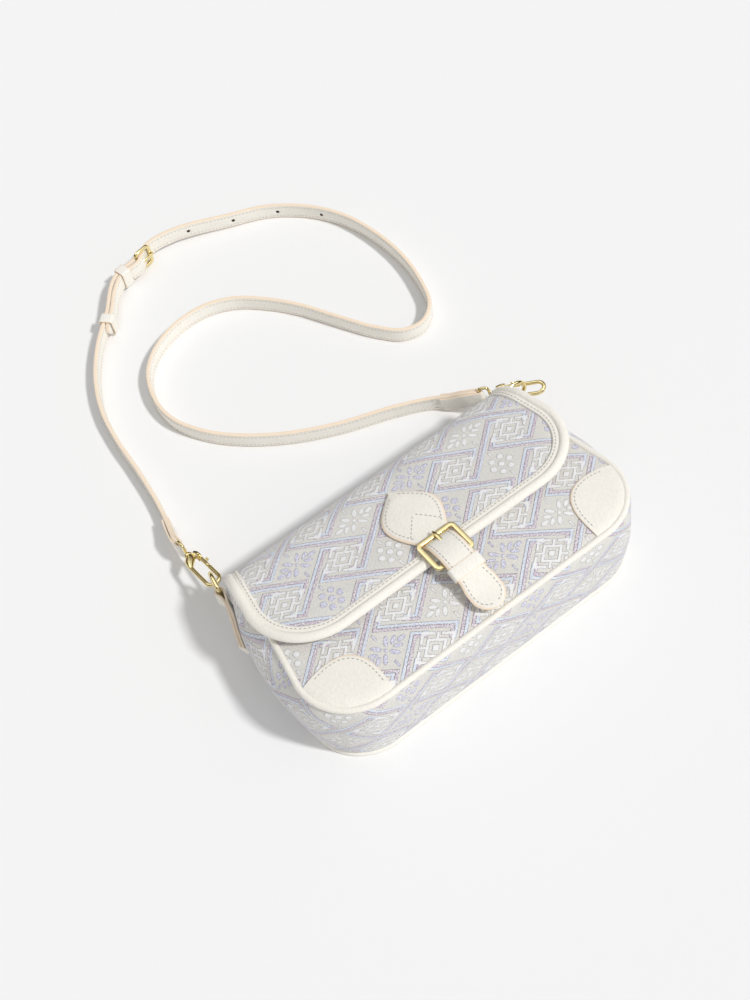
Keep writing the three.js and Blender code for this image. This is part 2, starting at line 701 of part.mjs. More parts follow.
stud.rotateX(Math.PI / 2);
piece(snapFrame, 'snap_socket', socket, gold);
piece(snapFrame, 'snap_stud', stud, gold);

// Side tabs: a strip on the gusset's swell and a loop for the ring's bar
const ringZ = (gussetLow + frontPlane(mouthY) - gussetDrop) / 2;
const barRadius = RING_WIRE / 2;
const tabLoopInner = barRadius + RING_CLEARANCE;
const tabLoopOuter = tabLoopInner + TAB_THICKNESS;
const tabTopY = gussetEnd(ringZ) + TAB_RISE;
const swollenHalf = (y) => mix(gussetSize(1).bottomHalf, gussetSize(1).topHalf, (y - bottomY) / (topY - bottomY));
const tabX = (y) => swollenHalf(y) - GUSSET_INSET + 2 * GAP;
const ringBarX = tabX(tabTopY) + tabLoopOuter;

function sideTab(side) {
  const loop = new THREE.Shape().absarc(side * ringBarX, tabTopY, tabLoopOuter, 0, 2 * Math.PI);
  loop.holes.push(new THREE.Path().absarc(side * ringBarX, tabTopY, tabLoopInner, 0, 2 * Math.PI));
  const lowY = tabTopY - TAB_LENGTH;
  const strip = new THREE.Shape();
  strip.moveTo(side * tabX(tabTopY), tabTopY);
  strip.lineTo(side * tabX(lowY), lowY);
  strip.lineTo(side * (tabX(lowY) + TAB_THICKNESS), lowY);
  strip.lineTo(side * (tabX(tabTopY) + TAB_THICKNESS), tabTopY);
  const options = { depth: TAB_WIDTH, curveSegments: 10, bevelEnabled: false };
  const ends = new THREE.ExtrudeGeometry(loop, options);
  const geometry = joined(ends, new THREE.ExtrudeGeometry(strip, options));
  geometry.translate(0, 0, ringZ - TAB_WIDTH / 2);
  return geometry;
}

piece(bag, 'side_tab_left', sideTab(-1), leather);
piece(bag, 'side_tab_right', sideTab(1), leather);

// D-ring in the XY plane: bar on the Y axis, bow towards +X.
function dRing() {
  const core = barRadius - RING_WIRE * 0.28;
  const half = (RING_INNER_WIDTH + RING_WIRE) / 2;
  const draw = (target, grow) => {
    target.moveTo(-grow, -half - grow);
    target.lineTo(RING_STRAIGHT, -half - grow);
    target.absarc(RING_STRAIGHT, 0, half + grow, -Math.PI / 2, Math.PI / 2);
    target.lineTo(-grow, half + grow);
    return target;
  };
  return wireRing(draw(new THREE.Shape(), core), draw(new THREE.Path(), -core), RING_WIRE);
}

// Hook frame: X along the hook towards its bow, Y across, Z off its flat side.
function hookBody() {
  const radius = HOOK_WIRE / 2;
  const w = HOOK_HALF_WIDTH;
  const path = [vec(HOOK_BASE_LENGTH - 3, -w, 0), vec(mix(HOOK_BASE_LENGTH, HOOK_STRAIGHT, 0.5), -w, 0)];
  for (let i = 0; i <= 8; i += 1) {
    const angle = mix(-Math.PI / 2, Math.PI / 2, i / 8);
    path.push(vec(HOOK_STRAIGHT + w * Math.cos(angle), w * Math.sin(angle), 0));
  }
  path.push(vec(HOOK_TIP, w, 0));
  const bow = cord(path, radius, 28);
  const width = 2 * (w + radius);
  const base = new THREE.BoxGeometry(HOOK_BASE_LENGTH, width, HOOK_BASE_THICKNESS);
  base.translate(HOOK_BASE_LENGTH / 2, 0, 0);
  const bore = new THREE.CylinderGeometry(POST_RADIUS + GAP, POST_RADIUS + GAP, 2 * (POST_LENGTH + GAP), 16);
  bore.rotateZ(Math.PI / 2);
  const slotStart = GATE_PIVOT - 2;
  const slotWidth = w + radius - 1;
  const slot = new THREE.BoxGeometry(2 * HOOK_BASE_LENGTH, slotWidth, HOOK_WIRE + 2 * GAP);
  slot.translate(slotStart + HOOK_BASE_LENGTH, 1 + slotWidth / 2 + GAP, 0);
  const rivet = new THREE.CylinderGeometry(RIVET_RADIUS, RIVET_RADIUS, HOOK_BASE_THICKNESS, 12);
  rivet.rotateX(Math.PI / 2);
  rivet.translate(GATE_PIVOT, w, 0);
  const bored = solid(base).subtract(solid(bore)).subtract(solid(slot));
  return surface(bored.add(solid(bow)).add(solid(rivet)));
}

// Gate bar with a thumb stub, on the rivet.
function gate() {
  const radius = HOOK_WIRE / 2 - 0.1;
  const start = GATE_PIVOT - 1.4;
  const end = HOOK_TIP - 2 * GAP;
  const rod = new THREE.CylinderGeometry(radius, radius, end - start, 14);
  rod.rotateZ(Math.PI / 2);
  rod.translate((start + end) / 2, HOOK_HALF_WIDTH, 0);
  const stub = new THREE.CylinderGeometry(1, 1.2, 3, 12);
  stub.translate(HOOK_BASE_LENGTH + 3, HOOK_HALF_WIDTH + radius + 0.6, 0);
  const hole = new THREE.CylinderGeometry(RIVET_RADIUS + 0.25, RIVET_RADIUS + 0.25, 10, 12);
  hole.rotateX(Math.PI / 2);
  hole.translate(GATE_PIVOT, HOOK_HALF_WIDTH, 0);
  return surface(solid(rod).add(solid(stub)).subtract(solid(hole)));
}

// Eye for the strap's end, with the post that the hook turns on.
function swivelEye() {
  const core = EYE_WIRE / 2 - EYE_WIRE * 0.28;
  const half = STRAP_WIDTH / 2 + 1 + EYE_WIRE / 2;
  const x1 = -GAP - EYE_WIRE / 2;
  const x0 = x1 - EYE_LENGTH + EYE_WIRE;
  const reach = half + core;
  const hollow = half - core;
  const outer = roundedRectangle(new THREE.Shape(), x0 - core, x1 + core, -reach, reach, 1.5 + core);
  const inner = roundedRectangle(new THREE.Path(), x0 + core, x1 - core, -hollow, hollow, 1.5 - core);
  const ring = wireRing(outer, inner, EYE_WIRE);
  ring.rotateX(Math.PI / 2);
  const post = new THREE.CylinderGeometry(POST_RADIUS, POST_RADIUS, POST_LENGTH - x1, 16);
  post.rotateZ(Math.PI / 2);
  post.translate((x1 + POST_LENGTH) / 2, 0, 0);
  return joined(ring, post);
}

const ringBowX = RING_STRAIGHT + Math.sqrt(((RING_INNER_WIDTH + RING_WIRE) / 2) ** 2 - HOOK_DROP ** 2);
const hookReach = HOOK_STRAIGHT + HOOK_HALF_WIDTH - HOOK_WIRE / 2 - barRadius;

// Adds one side's ring and hook; returns where the strap starts and which way the hook points.
function hookUp(name, side, ringTurn, heading, play, aside) {
  const turn = radians(ringTurn);
  const ringAlong = vec(Math.cos(turn), Math.sin(turn), 0);
  const bar = vec(side * ringBarX, tabTopY, ringZ);
  const up = vec(0, 0, 1);
  piece(frameAt(bar, ringAlong, up), `d_ring_${name}`, dRing(), gold);
  const slope = radians(HOOK_SLOPE);
  const turnHook = radians(heading);
  const level = vec(Math.cos(turnHook), Math.sin(turnHook), 0);
  const along = level.multiplyScalar(Math.cos(slope)).addScaledVector(up, Math.sin(slope));
  const hold = bar.clone().addScaledVector(ringAlong, ringBowX);
  hold.z -= HOOK_DROP;
  const origin = hold.addScaledVector(along, play - hookReach);
  const acrossHook = up.cross(along).normalize();
  origin.addScaledVector(acrossHook, aside);
  const hookFrame = frameAt(origin, along, acrossHook);
  piece(hookFrame, `hook_${name}`, hookBody(), gold);
  piece(hookFrame, `gate_${name}`, gate(), gold);
  piece(hookFrame, `swivel_eye_${name}`, swivelEye(), gold);
  const strapStart = origin.clone().addScaledVector(along, -EYE_LENGTH - 2 * GAP);
  return { strapStart, along };
}

const leftEnd = hookUp('left', -1, RING_TURN_LEFT, HOOK_HEADING_LEFT, HOOK_PLAY_LEFT, HOOK_ASIDE_LEFT);
const rightEnd = hookUp('right', 1, RING_TURN_RIGHT, HOOK_HEADING_RIGHT, HOOK_PLAY_RIGHT, HOOK_ASIDE_RIGHT);

// Strap buckle: X along the strap away from its hinge bar, Y towards the side the tail lies on
const buckleTurn = radians(STRAP_BUCKLE_TURN);
const buckleAlong = vec(Math.cos(buckleTurn), Math.sin(buckleTurn), 0);
const buckleSide = vec(Math.sin(buckleTurn), -Math.cos(buckleTurn), 0);
const buckleCentre = vec(STRAP_BUCKLE_X, STRAP_BUCKLE_Y, STRAP_BUCKLE_Z);
const strapHinge = buckleCentre.clone().addScaledVector(buckleAlong, -STRAP_BUCKLE_SPACING / 2);
const besideBuckle = (along, aside) =>
  buckleCentre.clone().addScaledVector(buckleAlong, along).addScaledVector(buckleSide, aside);
const passOffset = wireRadius + STRAP_THICKNESS / 2 + 4 * GAP;
const shortEnd = -STRAP_BUCKLE_SPACING / 2 - wireRadius - GAP;

// Routes over the table, left hook to buckle and buckle to right hook
const rise = STRAP_BUCKLE_Z - STRAP_LOW;
const shortLine = new THREE.CatmullRomCurve3([
  leftEnd.strapStart,
  leftEnd.strapStart.clone().addScaledVector(leftEnd.along, -6),
  vec(-114.3, 139, STRAP_LOW + 2.5),
  vec(-111.5, 153, STRAP_LOW),
  vec(-109, 172, STRAP_LOW),
  vec(-106, 204, STRAP_LOW),
  vec(-104, 236, STRAP_LOW),
  vec(-99, 265, STRAP_LOW),
  vec(-88, 292, STRAP_LOW + 0.2 * rise),
  vec(-70, 318, STRAP_LOW + 0.5 * rise),
  vec(-50, 338, STRAP_LOW + 0.8 * rise),
  besideBuckle(-30, 1),
  besideBuckle(shortEnd, 0),
]);

// Tail points beside the short strap, at distances back from its buckle end.
const shortLength = shortLine.getLength();
const tailOffset = STRAP_THICKNESS + 2 * GAP;
function besideShort(distance) {
  const u = 1 - distance / shortLength;
  const point = shortLine.getPointAt(u);
  const along = shortLine.getTangentAt(u);
  const aside = vec(along.y, -along.x, 0).normalize();
  return point.addScaledVector(aside, tailOffset);
}

const tailPoints = [1, 0.75, 0.5, 0.25].map((share) => besideShort(TAIL_LENGTH * share));
const longLine = new THREE.CatmullRomCurve3([
  ...tailPoints,
  besideBuckle(-STRAP_BUCKLE_SPACING / 2 - 1, passOffset),
  besideBuckle(STRAP_BUCKLE_SPACING / 2 + 1, -passOffset),
  besideBuckle(32, -2),
  vec(75, 361, STRAP_LOW + 0.3 * rise),
  vec(104, 347, STRAP_LOW),
  vec(128, 325, STRAP_LOW),
  vec(144, 298, STRAP_LOW),
  vec(152, 264, STRAP_LOW),
  vec(153, 232, STRAP_LOW),
  vec(148, 204, STRAP_LOW),
  vec(140, 184, STRAP_LOW),
  vec(126, 174, STRAP_LOW),
  vec(110, 177, STRAP_LOW),
  vec(96, 193, STRAP_LOW),
  vec(82, 218, STRAP_LOW),
  vec(66, 248, STRAP_LOW),
  vec(49, 271, STRAP_LOW),
  vec(32, 287, STRAP_LOW),
  vec(11, 296, STRAP_LOW),
  vec(-14, 296, STRAP_LOW),
  vec(-38, 287, STRAP_LOW),
  vec(-55, 271, STRAP_LOW),
  vec(-64, 246, STRAP_LOW),
  vec(-63, 223, STRAP_LOW),
  vec(-52, 200, STRAP_LOW),
  vec(-35, 180, STRAP_LOW),
  vec(-7, 158, STRAP_LOW),
  vec(25, 141, STRAP_LOW),
  vec(62, 127, STRAP_LOW),
  vec(86, 115.5, STRAP_LOW),
  vec(98, 104, STRAP_LOW + 4),
  rightEnd.strapStart.clone().addScaledVector(rightEnd.along, -9),
  rightEnd.strapStart,
]);

// A strap standing on its edge along a line.
function strap(line, steps) {
  const outer = [];
  const inner = [];
  for (let i = 0; i <= steps; i += 1) {
    const point = line.getPointAt(i / steps);
    const along = line.getTangentAt(i / steps);
    const up = vec(0, 0, 1).addScaledVector(along, -along.z).normalize();
    const aside = along.clone().cross(up);
    const edge = (high, off) => {
      const corner = point.clone().addScaledVector(up, high * STRAP_WIDTH / 2);
      return corner.addScaledVector(aside, off * STRAP_THICKNESS / 2);
    };
    outer.push([edge(-1, 1), edge(1, 1)]);
    inner.push([edge(-1, -1), edge(1, -1)]);
  }
  return sheet(outer, inner);
}

const strapBuckleFrame = frameAt(strapHinge, buckleAlong, vec(0, 0, 1));
const strapProngFrame = frameAt(strapHinge, buckleAlong, buckleSide);

// A slot through the strap for the prong, centred a distance along from the buckle's middle.
function strapSlot(length, along) {
  const slot = new THREE.BoxGeometry(length, 16, SLOT_WIDTH);
  slot.rotateZ(buckleTurn);
  const centre = besideBuckle(along, 0);
  return slot.translate(centre.x, centre.y, centre.z);
}

const longSlot = strapSlot(STRAP_SLOT_LENGTH, 5 - STRAP_SLOT_LENGTH / 2);
const shortNotch = strapSlot(STRAP_NOTCH_LENGTH, -STRAP_BUCKLE_SPACING / 2);

piece(bag, 'strap_short', cut(strap(shortLine, 60), shortNotch), leather);
piece(bag, 'strap_long', cut(strap(longLine, 170), longSlot), leather);
const strapBuckleWidth = STRAP_WIDTH + 2 * STRAP_BUCKLE_CLEARANCE;
const strapBuckle = buckleFrame(STRAP_BUCKLE_SPACING, strapBuckleWidth, WIRE_DIAMETER);
piece(strapBuckleFrame, 'strap_buckle', strapBuckle, gold);
piece(strapProngFrame, 'strap_prong', prong(STRAP_BUCKLE_SPACING, WIRE_DIAMETER), gold);

// Keeper around both layers of the strap, at a distance back from the buckle.
function strapKeeper(name, distance) {
  const u = 1 - distance / shortLength;
  const along = shortLine.getTangentAt(u);
  const aside = vec(along.y, -along.x, 0).normalize();
  const centre = shortLine.getPointAt(u).addScaledVector(aside, tailOffset / 2);
  const stack = tailOffset + STRAP_THICKNESS + 7 * GAP;
  const loop = keeper(stack, STRAP_WIDTH + 2 * GAP, STRAP_KEEPER_LENGTH);
  piece(frameAt(centre, along, aside), name, loop, leather);
}

strapKeeper('strap_keeper_fixed', FIXED_KEEPER_OFFSET);
strapKeeper('strap_keeper_sliding', SLIDING_KEEPER_OFFSET);

export default bag;
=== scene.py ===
"""A patterned flap bag with a buckled shoulder strap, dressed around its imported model."""
import math
from bisect import bisect_right

import bmesh
import bpy
from bpy.props import FloatProperty, FloatVectorProperty, PointerProperty
from mathutils import Matrix, Vector, noise


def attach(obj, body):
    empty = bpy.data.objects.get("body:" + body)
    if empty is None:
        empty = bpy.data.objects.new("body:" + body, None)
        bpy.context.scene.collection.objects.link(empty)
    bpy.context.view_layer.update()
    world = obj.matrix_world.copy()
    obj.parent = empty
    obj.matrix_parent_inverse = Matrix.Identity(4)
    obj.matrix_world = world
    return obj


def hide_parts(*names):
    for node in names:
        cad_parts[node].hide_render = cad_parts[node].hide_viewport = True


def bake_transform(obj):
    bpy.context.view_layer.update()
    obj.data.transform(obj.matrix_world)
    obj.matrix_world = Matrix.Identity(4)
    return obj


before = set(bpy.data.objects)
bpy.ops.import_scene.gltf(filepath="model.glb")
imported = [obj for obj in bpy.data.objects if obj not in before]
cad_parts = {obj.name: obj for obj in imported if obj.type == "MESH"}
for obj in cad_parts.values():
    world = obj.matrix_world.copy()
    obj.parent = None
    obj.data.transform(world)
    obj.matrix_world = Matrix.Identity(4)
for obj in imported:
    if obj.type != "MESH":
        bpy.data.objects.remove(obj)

bl_info = {
    "name": "Flap Bag",
    "version": (1, 0, 0),
    "blender": (4, 5, 0),
    "location": "View3D > Sidebar > Flap Bag",
    "description": "Builds a patterned flap bag with a buckled shoulder strap",
    "category": "Mesh",
}

MM = 0.001
UP = Vector((0, 0, 1))
RIGHT = Vector((1, 0, 0))

# Camera, lamps and floor; the camera's spot and the fold's blend are in metres, the floor in millimetres.
CAMERA_TURN = math.radians(-26.718)
CAMERA_HEIGHT = math.radians(57.789)
CAMERA_ROLL = math.radians(-11.866)
CAMERA_SPOT = Vector((-0.22204, -0.38101, 0.81999))
CAMERA_LENS = 50.665
CAMERA_SENSOR = 36.0
KEY_LIGHT = ("key_light", 1.86, 6, Vector((-0.325, 0.527, -0.785)))
FRONT_FILL = ("front_fill", 0.14, 70, Vector((0.25, 0.85, -0.46)))
AROUND_STRENGTH = 0.51
FLOOR_REACH = 3000.0
FLOOR_LEVEL = -0.2
FOLD_BLEND = 0.010

# Strap and fittings, in millimetres. A hook's place is its spot, the way to its ring and the way across.
HOOK_PLACES = {
    "left": ((-116.58398, 117.56915, 18.7313), (0.05078, -0.96897, 0.24192), (0.99863, 0.05234, 0.0)),
    "right": ((118.4453, 83.97591, 21.12633), (0.73229, -0.63657, 0.24192), (0.65606, 0.75471, 0.0)),
}
RING_TURNS = {"left": (-1, 80.0), "right": (1, -2.0)}
HOOK_STRAIGHT = 32.0
HOOK_TIP = 20.5
HOOK_HALF = 4.75
EYE_REACH = 9.6
EYE_BAR = 8.2
BUCKLE_SPOT = Vector((2.0, 370.0, 10.8))
BUCKLE_TURN = math.radians(11)
STRAP_BARS = 13.0
STRAP_LOW = 7.0
TAIL_LENGTH = 70.0
TAIL_ROUND = 7.0
# Each keeper's name, its distance behind the buckle and its body.
KEEPERS = (("fixed", 14.0, "bag"), ("sliding", 62.0, "strap_keeper"))
KEEPER_SPAN = 8.0
HOLE_COUNT = 4
FIRST_HOLE = 45.0
HOLE_PITCH = 36.0
HOLE_RADIUS = 1.35

# Shares of a pattern repeat: softness of a thread's edge, half a band's and half a stroke's width.
THREAD_EDGE = 0.008
BAND_HALF = 0.034
KEY_HALF = 0.033
# Where the pattern starts on the front panel and the gusset, in millimetres.
WEAVE_SHIFT = 26
# Power that squares the lining's round section.
SQUARENESS = 0.28


def tone(red, green, blue):
    """Linear colour for display levels from 0 to 255."""
    shares = [level / 255 for level in (red, green, blue)]
    return tuple(s / 12.92 if s <= 0.04045 else ((s + 0.055) / 1.055) ** 2.4 for s in shares)


def length(name, description, millimetres):
    """A length property, given in millimetres and kept in metres."""
    return FloatProperty(
        name=name,
        description=description,
        default=millimetres * MM,
        min=0.0,
        precision=5,
        unit="LENGTH",
    )


def colour(name, description, red, green, blue):
    """A colour property, given in display levels."""
    return FloatVectorProperty(
        name=name,
        description=description,
        default=tone(red, green, blue),
        size=3,
        min=0.0,
        max=1.0,
        subtype="COLOR",
    )


class FlapBagSizes(bpy.types.PropertyGroup):
    """Sizes of the bag's body, flap, closure and strap."""

    bottom_width: length("Bottom width", "Body width at the lower edge", 260)
    top_width: length("Top width", "Body width at the fold", 210)
    panel_height: length("Panel height", "Flat height of the back panel", 110)
    corner_radius: length("Corner radius", "Radius of the lower corners", 38)
    depth_bottom: length("Depth at bottom", "Body depth at the lower edge", 70)
    depth_top: length("Depth at top", "Body depth at the mouth", 61)
    mouth_rise: length("Mouth rise", "Height of the front panel above the fold line", 12)
    front_crown: length("Front crown", "Height of the front panel's bulge", 7)
    side_bulge: length("Side bulge", "Outward bulge of the gusset's sides at the fold", 9)
    side_belly: length("Side belly", "Extra bulge half way up the gusset's sides", 7.6)
    corner_bulge: length("Corner bulge", "Outward bulge of the gusset's sides at the bottom", 2)
    bottom_bulge: length("Bottom bulge", "Outward bulge of the gusset's bottom", 2.5)
    piping_diameter: length("Piping diameter", "Thickness of the seam cord", 4)
    flap_edge_inset: length("Flap edge inset", "Flap edge inside the body's lower width", 3)
    flap_overhang: length("Flap overhang", "Flap edge outside the body at the fold", 5.5)
    flap_straight: length("Flap straight", "Flap length past the fold", 67)
    flap_corner: length("Flap corner radius", "Radius of the flap's front corners", 45)
    flap_droop: length("Flap droop", "Drop of the flap's free corners", 1.5)
    binding_width: length("Binding width", "Width of the leather around the flap", 10.4)
    patch_along: length("Patch along", "Corner patch length along the bottom", 52)
    patch_up: length("Patch up", "Corner patch length up the side", 38)
    patch_bow: length("Patch bow", "Curve of the corner patch's free edge", 21)
    leaf_length: length("Leaf length", "Length of the leaf-shaped tab", 48.5)
    leaf_width: length("Leaf width", "Width of the leaf-shaped tab", 40)
    leaf_point: length("Leaf point", "Length of the tab's pointed end", 24)
    tongue_width: length("Tongue width", "Width of the closing tongue", 20)
    tongue_reach: length("Tongue reach", "Tongue length past the flap's edge", 48)
    strap_width: length("Strap width", "Width of the shoulder strap", 13)
    strap_thickness: length("Strap thickness", "Thickness of the shoulder strap", 2.8)
    stitch_pitch: length("Stitch pitch", "Distance from stitch to stitch", 2.9)
    repeat_across: length("Repeat across", "Pattern repeat across the cloth", 46.5)
    repeat_along: length("Repeat along", "Pattern repeat along the cloth", 36.5)


class FlapBagColours(bpy.types.PropertyGroup):
    """Colours of the cloth, leather, metal and floor."""

    ground: colour("Ground", "Plain weave of the cloth", 223, 220, 213)
    mauve: colour("Mauve", "First thread of the fret bands", 210, 193, 209)
    pale_blue: colour("Pale blue", "Second thread of the fret bands", 220, 231, 250)
    silver: colour("Silver", "Light thread of the squares and flowers", 255, 255, 255)
    lilac: colour("Lilac", "Second thread of the flowers", 208, 207, 236)
    leather: colour("Leather", "Cream grained leather", 247, 243, 234)
    edge_paint: colour("Edge paint", "Painted edges of the leather", 250, 231, 208)
    thread: colour("Thread", "Sewing thread of the bag", 182, 175, 164)
    pale_thread: colour("Pale thread", "Sewing thread of the straps", 222, 215, 202)
    gold: colour("Gold", "Pale plated metal", 240, 223, 170)
    lining: colour("Lining", "Twill inside the bag", 201, 190, 174)
    hole: colour("Hole", "Raw leather in the punched holes", 92, 74, 58)
    # Dark brown for the hole walls: raw leather darkened to paint the shade inside the punched holes.
    floor: colour("Floor", "Studio floor", 245, 245, 245)


def lerp(start, end, share):
    """Value between start and end."""
    return start + (end - start) * share


def ease(share):
    """Smooth step from 0 to 1."""
    share = min(1.0, max(0.0, share))
    return share * share * (3 - 2 * share)


def ripple(x, y, z=0.0):
    """Smooth uneven value from -1 to 1."""
    return noise.noise(Vector((x, y, z)))


def curve_span(before, start, end, after, steps):
    """Points on one span of a centripetal curve, without its end."""
    first = max(1e-3, (start - before).length ** 0.5)
    middle = max(1e-3, (end - start).length ** 0.5)
    last = max(1e-3, (after - end).length ** 0.5)
    leave = (start - before) / first - (end - before) / (first + middle) + (end - start) / middle
    arrive = (end - start) / middle - (after - start) / (middle + last) + (after - end) / last
    leave = leave * middle
    arrive = arrive * middle
    bend = (end - start) * 3 - leave * 2 - arrive
    twist = (start - end) * 2 + leave + arrive
    shares = [k / steps for k in range(steps)]
    return [start + leave * t + bend * t**2 + twist * t**3 for t in shares]


def smooth_line(knots, closed=False, steps=16):
    """Dense points on a smooth curve through the knots."""
    count = len(knots)
    points = []
    for i in range(count if closed else count - 1):
        start = knots[i]
        end = knots[(i + 1) % count]
        before = knots[i - 1] if closed or i > 0 else start * 2 - end
        after = knots[(i + 2) % count] if closed or i + 2 < count else end * 2 - start
        points.extend(curve_span(before, start, end, after, steps))
    if not closed:
        points.append(knots[-1].copy())
    return points


def marks_along(points):
    """Distance of each point along its line."""
    marks = [0.0]
    for one, other in zip(points, points[1:]):
        marks.append(marks[-1] + (other - one).length)
    return marks


def at_distance(points, marks, distance):
    """Point at a distance along a line."""
    if distance <= 0:
        return points[0].copy()
    for k in range(len(points) - 1):
        if marks[k + 1] >= distance:
            span = marks[k + 1] - marks[k]
            return points[k].lerp(points[k + 1], (distance - marks[k]) / span if span else 0.0)
    return points[-1].copy()


def resample(points, spacing):
    """The same line with even spacing."""
    marks = marks_along(points)
    count = max(2, round(marks[-1] / spacing))
    result = []
    k = 0
    for i in range(count + 1):
        goal = marks[-1] * i / count
        while k < len(points) - 2 and marks[k + 1] < goal:
            k += 1
        span = marks[k + 1] - marks[k]
        result.append(points[k].lerp(points[k + 1], (goal - marks[k]) / span if span else 0.0))
    return result


def headings(points, closed=False):
    """Unit direction of a line at each of its points."""
    count = len(points)
    result = []
    for i in range(count):
        before = points[i - 1] if closed or i > 0 else points[i]
        after = points[(i + 1) % count] if closed or i + 1 < count else points[i]
        result.append((after - before).normalized())
    return result


def flat_points(pairs):
    """Pairs as points at height 0."""
    return [Vector((x, y, 0)) for x, y in pairs]


def right_of(heading):
    """Level direction to the right of a heading."""
    return Vector((heading.y, -heading.x, 0))


def before_end(line, back):
    """Point at a distance before a line's end, the way along the line there and the way to its right."""
    marks = marks_along(line)
    spot = marks[-1] - back
    along = at_distance(line, marks, spot + 1) - at_distance(line, marks, spot - 1)
    return at_distance(line, marks, spot), along, right_of(along).normalized()


def place(origin, x_axis, y_axis):
    """Matrix of a local frame, in millimetres."""
    x = Vector(x_axis).normalized()
    z = x.cross(Vector(y_axis)).normalized()
    y = z.cross(x)
    matrix = Matrix((x, y, z)).transposed().to_4x4()
    matrix.translation = Vector(origin)
    return matrix


class Maker:
    """Gathers the points and faces of one piece, in millimetres; each shape returns its maker."""

    def __init__(self):
        self.points = []
        self.faces = []
        self.finishes = []
        self.weave = []

    def row(self, points, weave=None):
        """Adds points and returns their numbers."""
        first = len(self.points)
        self.points.extend(points)
        self.weave.extend(weave or [(p[0], p[1]) for p in points])
        return list(range(first, len(self.points)))

    def face(self, corners, finish=0):
        """Adds one face."""
        self.faces.append(tuple(corners))
        self.finishes.append(finish)

    def strip(self, one, other, finish=0, closed=False):
        """Joins two rows with quads."""
        count = len(one)
        for i in range(count if closed else count - 1):
            j = (i + 1) % count
            self.face((one[i], one[j], other[j], other[i]), finish)

    def sheet(self, outer, inner, weave=None, finish=(0, 0, 0)):
        """A closed sheet between two grids of points; finish is for face, back and rim."""
        tops = [self.row(r, weave[k] if weave else None) for k, r in enumerate(outer)]
        backs = [self.row(r, weave[k] if weave else None) for k, r in enumerate(inner)]
        for one, other in zip(tops, tops[1:]):
            self.strip(one, other, finish[0])
        for one, other in zip(backs, backs[1:]):
            self.strip(other, one, finish[1])
        self.strip(tops[0], backs[0], finish[2])
        self.strip(backs[-1], tops[-1], finish[2])
        self.strip([r[0] for r in tops], [r[0] for r in backs], finish[2])
        self.strip([r[-1] for r in backs], [r[-1] for r in tops], finish[2])
        return self

    def tube(self, rings, finishes=None, closed=False):
        """A skin over rings of points, with flat ends where it isn't closed."""
        rows = [self.row(ring) for ring in rings]
        pairs = list(zip(rows, rows[1:]))
        if closed:
            pairs.append((rows[-1], rows[0]))
        count = len(rows[0])
        for one, other in pairs:
            for i in range(count):
                j = (i + 1) % count
                self.face((one[i], one[j], other[j], other[i]), finishes[i] if finishes else 0)
        if not closed:
            self.face(rows[0])
            self.face(rows[-1])
        return self

    def sweep(self, line, normal, profile, finishes=None, closed=False, sizes=None):
        """Runs a profile of (side, normal) pairs along a line; normal is one vector or one a point."""
        rings = []
        for i, (point, heading) in enumerate(zip(line, headings(line, closed))):
            up = normal[i] if isinstance(normal, list) else normal
            side = heading.cross(up).normalized()
            up = side.cross(heading)
            wide, tall = sizes[i] if sizes else (1.0, 1.0)
            rings.append([point + side * (a * wide) + up * (b * tall) for a, b in profile])
        return self.tube(rings, finishes, closed)

    def wire(self, matrix, line, radius, sides=14, **options):
        """A round wire along local points."""
        profile = round_profile(radius, sides)
        return self.sweep([matrix @ p for p in line], matrix.col[2].to_3d(), profile, **options)

    def turned(self, matrix, outline, segments=32):
        """A round solid; outline is (radius, height) pairs about the frame's Z."""
        rings = []
        for radius, height in outline:
            angles = [2 * math.pi * k / segments for k in range(segments)]
            ring = [Vector((radius * math.cos(a), radius * math.sin(a), height)) for a in angles]
            rings.append([matrix @ p for p in ring])
        return self.tube(rings)

    def build(self, name, finishes, sharp=38):
        """Makes the object; finishes are its materials in order."""
        mesh = bpy.data.meshes.new(name)
        mesh.from_pydata([tuple(c * MM for c in p) for p in self.points], [], self.faces)
        layer = mesh.uv_layers.new(name="weave")
        for loop in mesh.loops:
            layer.data[loop.index].uv = self.weave[loop.vertex_index]
        for material in finishes:
            mesh.materials.append(material)
        mesh.polygons.foreach_set("material_index", self.finishes)
        shaped = bmesh.new()
        shaped.from_mesh(mesh)
        bmesh.ops.recalc_face_normals(shaped, faces=shaped.faces)
        shaped.to_mesh(mesh)
        shaped.free()
        mesh.shade_smooth()
        mesh.set_sharp_from_angle(angle=math.radians(sharp))
        obj = bpy.data.objects.new(name, mesh)
        bpy.context.scene.collection.objects.link(obj)
        return obj


def round_profile(radius, sides=12):
    """A circle as a profile."""
    angles = [2 * math.pi * k / sides for k in range(sides)]
    return [(radius * math.cos(a), radius * math.sin(a)) for a in angles]


def rounded_box(x0, x1, y0, y1, radius, steps):
    """A rounded rectangle as pairs."""
    points = []
    centres = (
        (x1 - radius, y1 - radius), (x0 + radius, y1 - radius),
        (x0 + radius, y0 + radius), (x1 - radius, y0 + radius),
    )
    for quarter, (x, y) in enumerate(centres):
        for k in range(steps + 1):
            angle = math.radians(90 * quarter + 90 * k / steps)
            points.append((x + radius * math.cos(angle), y + radius * math.sin(angle)))
    return points


def soft_box(width, height, radius, steps=3):
    """A rounded rectangle as a profile."""
    return rounded_box(-width / 2, width / 2, -height / 2, height / 2, radius, steps)


def edged_box(width, height, radius):
    """A rounded rectangle with its two narrow sides painted, as a profile and its finishes."""
    profile = soft_box(width, height, radius, 2)
    finishes = []
    for point, following in zip(profile, profile[1:] + profile[:1]):
        finishes.append(1 if abs(point[1] + following[1]) > height - 0.6 else 0)
    return profile, finishes


